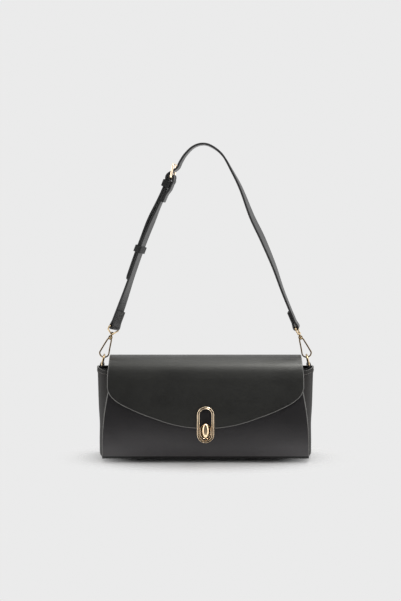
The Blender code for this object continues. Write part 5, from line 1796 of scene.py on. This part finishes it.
    def bail(self, side: Side, twist: float) -> BMesh:
        """Make the bail that swivels on a hook's shank.

        Args:
            side: Side of the bag.
            twist: Twist of the strap's end, in degrees.

        Returns:
            The bail.
        """
        form = self.form
        up = form.axis(side)
        across = leg_width(up, twist)
        base = form.spot(side, 0.0, -form.eye, form.rivet)
        top = form.spot(side, 0.0, 0.0, form.rivet + form.bail)
        half, corner = form.bail_half, 1.9 * MM
        line = [base + up * 5.2 * MM + across * 1.7 * MM, top - up * 4.4 * MM + across * half,
                top - up * corner + across * half]
        line += [top + up * (math.sin(angle) - 1) * corner
                 + across * (half - corner + corner * math.cos(angle))
                 for angle in spread(0.0, QUARTER, 5)[1:]]
        line += [point - across * 2 * (point - base).dot(across) for point in reversed(line)]
        collar = mm((1.2, 4.2), (2.1, 4.2), (2.4, 4.5), (2.4, 5.9), (2.1, 6.2), (1.2, 6.2),
                    (1.2, 4.2))
        return joined([tube(line, form.bail_wire, 16),
                       turned(collar, form.shank_frame(side), 28)])


# Strap


@dataclass
class StrapForm:
    """Route of the two straps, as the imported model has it."""

    hook: HookForm
    width: float = 13.0 * MM
    stock: float = 2.6 * MM
    step: float = 2.4 * MM
    tail: float = 21.5 * MM
    heel_tail: float = 32.5 * MM
    tip_end: float = 62.0 * MM
    right_twist: float = 10.0
    foot_twist: float = 45.0
    leg_twist: float = 26.0
    head_twist: float = 14.0
    bow: float = 2.8 * MM
    slack: float = 1.0 * MM
    fixed_drop: float = 9.5 * MM
    sliding_drop: float = 98.4 * MM
    keeper: float = 8.6 * MM
    heel_shares: Point2 = (-0.361, 0.810)
    front_shares: Point2 = (-0.334, 0.879)
    arch: tuple[Rgb, ...] = (
        (0.916, 0.0965, 11.0), (0.843, 0.203, 12.0), (0.75, 0.332, 19.0), (0.622, 0.481, 26.0),
        (0.504, 0.602, 23.0), (0.387, 0.749, 12.0), (0.284, 0.848, 4.0), (0.184, 0.9305, -2.0),
        (0.069, 0.976, -6.0), (-0.031, 0.989, -8.0), (-0.132, 0.973, -10.0),
        (-0.217, 0.9325, -12.0), (-0.27, 0.891, -14.0), (-0.305, 0.858, -14.0))
    tuck: tuple[Point2, ...] = ((0.9, 1.15), (-3.2, 0.56), (-6.4, 0.04))

    def __post_init__(self) -> None:
        """Find the bars of the left leg."""
        self.foot, self.head = self.point((-1.0, 0.0)), self.point(self.heel_shares)
        self.length = (self.head - self.foot).length
        self.along = (self.head - self.foot).normalized()
        self.pitch = self.stock + GAP

    def point(self, shares: Sequence[float]) -> Vector:
        """Point in the strap's plane from shares of the span and the rise."""
        return Vector((self.hook.span * shares[0], self.hook.plane,
                       self.hook.strap_foot + self.hook.strap_rise * shares[1]))

    def twist(self, along: float) -> float:
        """Twist of the left leg in degrees at a distance up it.

        Args:
            along: Distance up the leg.

        Returns:
            The twist.
        """
        low = ease((along - 12 * MM) / (60 * MM))
        high = ease((along - self.length + 68 * MM) / (34 * MM))
        twist = self.foot_twist + (self.leg_twist - self.foot_twist) * low
        return twist + (self.head_twist - self.leg_twist) * high

    def leg_axes(self, along: float) -> Row:
        """Width and outer directions of the left leg at a distance up it."""
        across = leg_width(self.along, self.twist(along))
        return across, facing(self.along.cross(across).normalized(), -1)

    def leg_middle(self, along: float) -> Vector:
        """Point on the left leg's middle line, which bows outwards.

        Args:
            along: Distance up the leg.

        Returns:
            The point.
        """
        share = min(max(along / self.length, 0.0), 1.0)
        bow = self.bow * math.sin(math.pi * share ** 1.2) ** 2
        return self.foot + self.along * along - Vector((self.along.z, 0.0, -self.along.x)) * bow

    def leg_point(self, along: float, height: float) -> Row:
        """Centre and width direction on the left leg, at a height over its middle line."""
        across, outward = self.leg_axes(along)
        return self.leg_middle(along) + outward * height, across

    def right_axes(self) -> tuple[Vector, Vector, Vector, Vector]:
        """Foot, up, width and outer directions of the long strap's end at the right bail.

        Returns:
            The foot and the three directions.
        """
        foot = self.point((1.0, 0.0))
        along = (self.point(self.arch[0]) - foot).normalized()
        across = leg_width(along, self.right_twist)
        return foot, along, across, facing(along.cross(across).normalized(), 1)

    def long_height(self, along: float) -> float:
        """Height of the long strap on the left leg, which lies slack between the keepers.

        Args:
            along: Distance up the leg.

        Returns:
            The height.
        """
        top = self.length - self.fixed_drop - self.keeper
        bottom = self.length - self.sliding_drop + self.keeper
        share = min(max((along - bottom) / (top - bottom), 0.0), 1.0)
        return self.pitch * 1.5 + self.slack * math.sin(math.pi * share) ** 2

    def tail_bulge(self, along: float) -> float:
        """How far the short strap's tail bends out over the fixed keeper.

        Args:
            along: Distance down the leg from the buckle's heel bar.

        Returns:
            The distance.
        """
        near = ease(along / (self.fixed_drop - self.keeper / 2))
        end = self.fixed_drop + self.keeper / 2 + 9.3 * MM
        return 1.95 * MM * near * ease((end - along) / (9 * MM))

    def arch_line(self, route: Sequence[tuple[Vector, float]]) -> list[Row]:
        """Lay the free arch.

        Args:
            route: Points with their twist in degrees.

        Returns:
            Centres with their width directions.
        """
        rows = [Vector((place.x, place.z, twist, place.y)) for place, twist in route]
        line = even_line(smooth_line(rows, 16), self.step)
        result = []
        for index, row in enumerate(line):
            before, after = around(line, index)
            run, turn = (after.xy - before.xy).normalized(), math.radians(row.z)
            across = Y_AXIS * math.cos(turn) + Vector((run.y, 0.0, -run.x)) * math.sin(turn)
            result.append((Vector((row.x, row.w, row.y)), across.normalized()))
        return result

    def buckle_axes(self) -> tuple[Vector, Vector, Vector, Vector]:
        """Across, up and outward directions of the buckle, and its front bar's centre.

        Returns:
            The three directions and the centre.
        """
        front, across = self.point(self.front_shares), self.leg_axes(self.length)[0]
        up = (front - self.head).normalized()
        return across, up, facing(up.cross(across).normalized(), -1), front


@dataclass
class Strap:
    """Long and short straps, buckle, prong and keepers."""

    shop: Workshop
    form: StrapForm

    def build(self) -> None:
        """Make every piece of the strap."""
        self.make_long()
        self.make_short()
        self.make_buckle()
        form = self.form
        low, high = (form.pitch - form.stock) / 2, 1.5 * form.pitch + form.stock / 2
        self.make_keeper("fixed", Body.STRAP, form.fixed_drop, low, high + 0.7 * MM)
        self.make_keeper("sliding", Body.KEEPER, form.sliding_drop, low, high)

    def ribbon(self, line: Sequence[Row], name: str, node: str,
               widths: Sequence[float] | None = None) -> Object:
        """Make a strap with a creased line near each edge.

        Args:
            line: Centres with their width directions.
            name: Name of the piece.
            node: CAD node that it replaces.
            widths: Factor on the width at each centre.

        Returns:
            The piece.
        """
        half, thick = self.form.width / 2, self.form.stock / 2
        right = [(x * half, y * thick) for x, y in (
            (1.0, 0.45), (0.985, 0.75), (0.955, 0.93), (0.91, 1.0), (0.845, 0.97), (0.82, 0.9),
            (0.795, 0.97), (0.7, 1.0), (0.35, 1.0), (0.0, 1.0))]
        top = right + [(-x, y) for x, y in reversed(right[:-1])]
        outline = top + [(-x, -y) for x, y in top]
        stations = []
        for index, (centre, across) in enumerate(line):
            before, after = around(line, index)
            run = (after[0] - before[0]).normalized()
            across = (across - run * across.dot(run)).normalized()
            size = Matrix.Diagonal((widths[index] if widths else 1.0, 1.0, 1.0, 1.0))
            stations.append(axes_at(centre, across, run.cross(across), run) @ size)
        bm = swept(outline, stations, False, lambda column: abs(outline[column][0]) > half * 0.93)
        return self.shop.piece(bm, name, Body.STRAP, (Look.STRAP, Look.STRAP_EDGE), node, 50.0)

    def make_long(self) -> None:
        """Make the long strap with its slot and punched holes."""
        form = self.form
        foot, up, wide, out = form.right_axes()
        line = [(foot + up * distance + out * height, wide) for distance, height in
                folded_line(form.tail, form.hook.bail_wire, form.stock, form.step)]
        joint, previous = line.pop(), line.pop()
        while (previous[0] - joint[0]).length < 6 * MM:
            previous = line.pop()
        route = [(previous[0], form.right_twist), (joint[0], form.right_twist)]
        for *shares, twist in form.arch:
            place = form.point(shares)
            if place.x < 0 or place.z > joint[0].z + 6 * MM:
                route.append((place, twist))
        layer, extra = form.pitch * 1.5, 1.5 * MM
        for distance, share in form.tuck:
            place, _ = form.leg_point(form.length + distance * extra, layer + extra * share)
            route.append((place, -form.head_twist))
        line += form.arch_line(route)
        start, point = form.length + form.tuck[-1][0] * extra - 3 * MM, 7 * MM
        line += [form.leg_point(along, form.long_height(along))
                 for along in spread(start, form.tip_end + point, 34)]
        widths = [1.0] * len(line)
        for angle in spread(0.0, QUARTER, 9)[1:]:
            line.append(form.leg_point(form.tip_end + point * (1 - math.sin(angle)), layer))
            widths.append(0.28 + 0.72 * math.cos(angle) ** 0.8)
        item = self.ribbon(line, "long_strap_leather", "strap_long", widths)
        cutters = []
        for index in range(4):
            along = form.length - form.fixed_drop - 18 * MM - 22 * MM * index
            across, outward = form.leg_axes(along)
            middle, _ = form.leg_point(along, form.long_height(along))
            frame = axes_at(middle, across, outward.cross(across), outward)
            cutters.append(turned(mm((0.0, -2), (1.2, -2), (1.2, 2), (0.0, 2)), frame, 20))
        self.shop.carve(item, joined(cutters))
        self.shop.carve(item, self.prong_slot())
        self.make_tail_stitches("long_strap_stitches", out, lambda x, y, height:
                                foot + up * y + wide * x + out * height)

    def prong_slot(self) -> BMesh:
        """Cutter that clears the prong's path through the long strap.

        Returns:
            The cutter.
        """
        _, up, outward, front = self.form.buckle_axes()
        reach = (front - self.form.head).length + 1.6 * MM
        near, far = 0.8 * MM, 3.8 * MM
        corners = [(near, 0.0), (far, 0.0), (far + reach * math.tan(math.radians(9)), reach),
                   (near, reach)]
        return plate(corners, 3 * MM, axes_at(self.form.head, outward, up, outward.cross(up)))

    def make_short(self) -> None:
        """Make the short strap between the left bail and the buckle."""
        form = self.form
        line = [form.leg_point(along, height) for along, height in
                folded_line(form.tail, form.hook.bail_wire, form.stock, form.step)]
        span = form.length - form.tail - form.heel_tail
        for along in spread(form.tail, form.tail + span, round(span / form.step))[1:-1]:
            line.append(form.leg_point(along, form.pitch / 2))
        for along, height in reversed(
                folded_line(form.heel_tail, 1.2 * MM, form.stock, form.step)):
            bulge = form.tail_bulge(along) if height < 0 else 0.0
            line.append(form.leg_point(form.length - along, height - bulge))
        item = self.ribbon(line, "short_strap_leather", "strap_short")
        across, _ = form.leg_axes(form.length)
        frame = axes_at(form.head, across, form.along, across.cross(form.along))
        self.shop.carve(item, plate(box_outline(3.0 * MM, 14 * MM, 1.3 * MM, 5), 12 * MM, frame,
                                    0.05 * MM))

        def spot(x: float, y: float, height: float) -> Vector:
            """Point on the sewn tail."""
            centre, wide = form.leg_point(y, height)
            return centre + wide * x

        self.make_tail_stitches("short_strap_stitches", form.leg_axes(form.tail * 0.7)[1], spot)

    def make_tail_stitches(self, name: str, outward: Vector,
                           spot: Callable[[float, float, float], Vector]) -> None:
        """Sew the folded end of a strap with a small box of stitches on both faces.

        Args:
            name: Name of the piece.
            outward: Outer direction of the strap.
            spot: Point for a distance across, up and out.
        """
        face = (self.form.pitch + self.form.stock) / 2
        corners = mm((-4.2, 11.5), (4.2, 11.5), (-4.2, 19.5), (4.2, 19.5))
        rows = []
        for sense in (1, -1):
            for pair in ((0, 1), (2, 3), (0, 2), (1, 3)):
                start, end = (spot(*corners[index], sense * face) for index in pair)
                line = [start.lerp(end, share) for share in spread(0.0, 1.0, 6)]
                rows.append(thread_row(line, outward * sense, 2.6, 2.0, 0.22))
        self.shop.piece(joined(rows), name, Body.STRAP, (Look.HEM_THREAD,))

    def make_buckle(self) -> None:
        """Make the buckle's frame and its prong."""
        form = self.form
        across, up, outward, front = form.buckle_axes()
        heel, length = form.head, (front - form.head).length
        wire, offset = 1.2 * MM, 2.3 * MM
        outline = box_outline(2 * (form.width / 2 + 0.9 * MM + wire), length, 2.6 * MM, 8)
        line = [(heel + front) / 2 + across * x + up * y for x, y in outline]
        self.shop.piece(tube(line, wire, 18, True), "buckle_gold", Body.STRAP, (Look.GOLD,),
                        "buckle_frame")
        prong = [heel + outward * offset * math.cos(angle) + up * offset * math.sin(angle)
                 for angle in spread(-1.5 * math.pi, 0.0, 24)]
        prong += [heel + outward * offset + up * (length + 1.6 * MM) * share
                  for share in spread(0.0, 1.0, 8)[1:]]
        bm = tube(prong, 0.8 * MM, 14, False, lambda share: 1 - 0.3 * ease((share - 0.8) / 0.2))
        self.shop.piece(bm, "buckle_prong_gold", Body.PRONG, (Look.GOLD,), "buckle_prong")

    def make_keeper(self, kind: str, body: Body, drop: float, low: float, high: float) -> None:
        """Make a leather loop round the strap's layers.

        Args:
            kind: End of the names of the piece and of its CAD node.
            body: Body that it rides on.
            drop: Distance below the buckle's heel bar.
            low: Height of the innermost layer's inner face.
            high: Height of the outermost layer's outer face.
        """
        form, stock, room = self.form, 1.5 * MM, 0.9 * MM
        across, outward = form.leg_axes(form.length - drop)
        origin = form.leg_middle(form.length - drop) + outward * (low + high) / 2
        up = across.cross(outward).normalized()
        path = box_outline(form.width + room + stock, high - low + room + stock, 1.2 * MM, 6)
        section = box_outline(stock, form.keeper, 0.45 * MM, 3)
        points = [origin + across * x + outward * y for x, y in path]
        stations = []
        for index, point in enumerate(points):
            run = (points[(index + 1) % len(points)] - points[index - 1]).normalized()
            stations.append(axes_at(point, up.cross(run), up, run))
        bm = swept(section, stations, True, lambda column: abs(section[column][1]) > 4.0 * MM)
        self.shop.piece(bm, f"keeper_leather_{kind}", body, (Look.KEEPER, Look.STRAP_EDGE),
                        f"keeper_{kind}", 50.0)


# Studio


@dataclass
class Studio:
    """Pale floor, soft light and the photograph's camera."""

    backdrop: float = 0.83
    room_front: float = 0.08
    room_sides: Point2 = (0.8, 2.5)
    glow: Point2 = (0.4, 1.1)
    glow_front: float = 0.9
    floor_tone: float = 0.74
    floor_drop: float = 5 * MM
    floor_fade: Point2 = (0.045, 0.1)
    flank: float = 2.3
    floor_glow: float = 2.3
    elevation: float = math.radians(8.0)
    distance: float = 2.0
    sensor: float = 36.0
    per_pixel: float = 1.25 * MM
    middle_column: float = 205.5
    floor_row: float = 455.3
    picture: tuple[int, int] = (401, 601)

    def build(self) -> None:
        """Set up the view, the world, the floor, the lamps and the camera."""
        bpy.context.scene.view_settings.view_transform = "Standard"
        self.make_world()
        self.make_floor()
        self.make_lamp("key", (0.45, 0.3, 1.6), 1.2, 10.0)
        self.make_lamp("softbox", (0.5, -0.4, 1.2), 0.5, 15.0).visible_diffuse = False
        self.make_camera()

    def make_world(self) -> None:
        """Light the studio softly from all round, brightest above."""
        world = bpy.data.worlds.new("studio")
        bpy.context.scene.world = world
        world.use_nodes = True
        world.node_tree.nodes.clear()
        bench = NodeBench(world.node_tree)
        place = bench.add("TexCoord").outputs["Generated"]
        x, y, z = bench.add("SeparateXYZ", {0: place}).outputs
        light = bench.math("MULTIPLY", bench.ramp(z, -0.3, 1.0, *self.glow),
                           bench.ramp(y, -0.8, 0.3, self.glow_front, 1.0))
        glow = bench.add("Background", {0: (1.0, 0.995, 0.985, 1.0), 1: light})
        sides = bench.math("MULTIPLY", bench.ramp(x, -1.0, 0.0, self.room_sides[0], 1.0),
                           bench.ramp(x, 0.45, 0.9, 1.0, self.room_sides[1]))
        room = bench.math("MULTIPLY", sides,
                          bench.ramp(y, -0.75, 0.45, self.room_front, self.backdrop))
        for bright in (bench.ramp(bench.math("ABSOLUTE", x), 0.5, 0.8, 0.0, self.flank),
                       bench.ramp(z, -0.65, -0.28, self.floor_glow, 0.0)):
            room = bench.math("MAXIMUM", room, bright)
        seen, *others = (bench.add("LightPath").outputs[f"Is {kind} Ray"]
                         for kind in ("Camera", "Glossy", "Transmission"))
        room = bench.ramp(seen, 0.0, 1.0, room, self.backdrop, kind="LINEAR")
        plain = bench.add("Background", {0: (1.0, 1.0, 1.0, 1.0), 1: room})
        for other in others:
            seen = bench.math("MAXIMUM", seen, other)
        mix = bench.add("MixShader", {0: seen, 1: glow.outputs[0], 2: plain.outputs[0]})
        bench.add("OutputWorld", {0: mix.outputs[0]})

    def make_floor(self) -> None:
        """Lay a floor that keeps the bag's shadow and fades into the backdrop."""
        bm = bmesh.new()
        bmesh.ops.create_circle(bm, cap_ends=True, segments=64, radius=3.0,
                                matrix=Matrix.Translation((0.0, 0.0, -self.floor_drop)))
        mesh = bpy.data.meshes.new("floor")
        bm.to_mesh(mesh)
        bm.free()
        floor = bpy.data.objects.new("floor", mesh)
        bpy.context.scene.collection.objects.link(floor)
        material = bpy.data.materials.new("pale floor")
        material.use_nodes = True
        bench, nodes = NodeBench(material.node_tree), material.node_tree.nodes
        shader = nodes["Principled BSDF"]
        for name, value in (("Base Color", (*(self.floor_tone,) * 3, 1.0)), ("Roughness", 0.9),
                            ("Specular IOR Level", 0.0)):
            bench.feed(shader.inputs[name], value)
        place = bench.add("TexCoord").outputs["Object"]
        squeezed = bench.add("VectorMath", {0: place, 1: (0.5, 1.0, 0.0)}, operation="MULTIPLY")
        far = bench.add("VectorMath", {0: squeezed.outputs[0]}, operation="LENGTH")
        fade = bench.ramp(far.outputs["Value"], *self.floor_fade, 0.0, 1.0)
        under = bench.add("NewGeometry").outputs["Backfacing"]
        clear = bench.add("BsdfTransparent").outputs[0]
        mix = bench.add("MixShader", {0: bench.math("MAXIMUM", fade, under),
                                      1: shader.outputs[0], 2: clear})
        bench.feed(nodes["Material Output"].inputs[0], mix.outputs[0])
        mesh.materials.append(material)

    def make_lamp(self, name: str, place: Rgb, size: float, power: float) -> Object:
        """Hang a square soft lamp that faces the bag.

        Args:
            name: Name of the lamp.
            place: Where it hangs.
            size: Length of its sides.
            power: Its power in watts.

        Returns:
            The lamp.
        """
        data = bpy.data.lights.new(name, "AREA")
        data.shape, data.size, data.energy = "SQUARE", size, power
        lamp = bpy.data.objects.new(name, data)
        self.aim(lamp, Vector(place), Vector((0.0, 0.0, 0.1)) - Vector(place))
        return lamp

    def aim(self, item: Object, place: Vector, way: Vector) -> None:
        """Put a lamp or camera in the scene at a place, looking one way.

        Args:
            item: The lamp or camera.
            place: Where it stands.
            way: Direction in which it looks.
        """
        item.location = place
        item.rotation_euler = way.to_track_quat("-Z", "Y").to_euler()
        bpy.context.scene.collection.objects.link(item)

    def make_camera(self) -> None:
        """Stand the camera at the photograph's angle."""
        columns, rows = self.picture
        data = bpy.data.cameras.new("camera")
        data.sensor_fit, data.sensor_height = "VERTICAL", self.sensor
        data.lens = self.sensor * self.distance / (rows * self.per_pixel)
        x = (columns / 2 - self.middle_column) * self.per_pixel
        z = (self.floor_row - rows / 2) * self.per_pixel / math.cos(self.elevation)
        toward = Vector((0.0, -math.cos(self.elevation), math.sin(self.elevation)))
        camera = bpy.data.objects.new("camera", data)
        self.aim(camera, Vector((x, 0.0, z)) + toward * self.distance, -toward)
        bpy.context.scene.camera = camera


def main() -> None:
    """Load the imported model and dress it."""
    logging.basicConfig(level=logging.INFO, format="%(message)s")
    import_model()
    shop = Workshop()
    body = BodyForm()
    flap = FlapForm(body)
    hooks = HookForm()
    strap = StrapForm(hooks)
    lock = TurnLock(shop, body, flap)
    BodyShell(shop, body).build()
    Flap(shop, flap).build(lock.notch)
    lock.build()
    Fittings(shop, hooks).build({Side.LEFT: strap.foot_twist, Side.RIGHT: strap.right_twist})
    Strap(shop, strap).build()
    Studio().build()


if __name__ == "__main__":
    main()
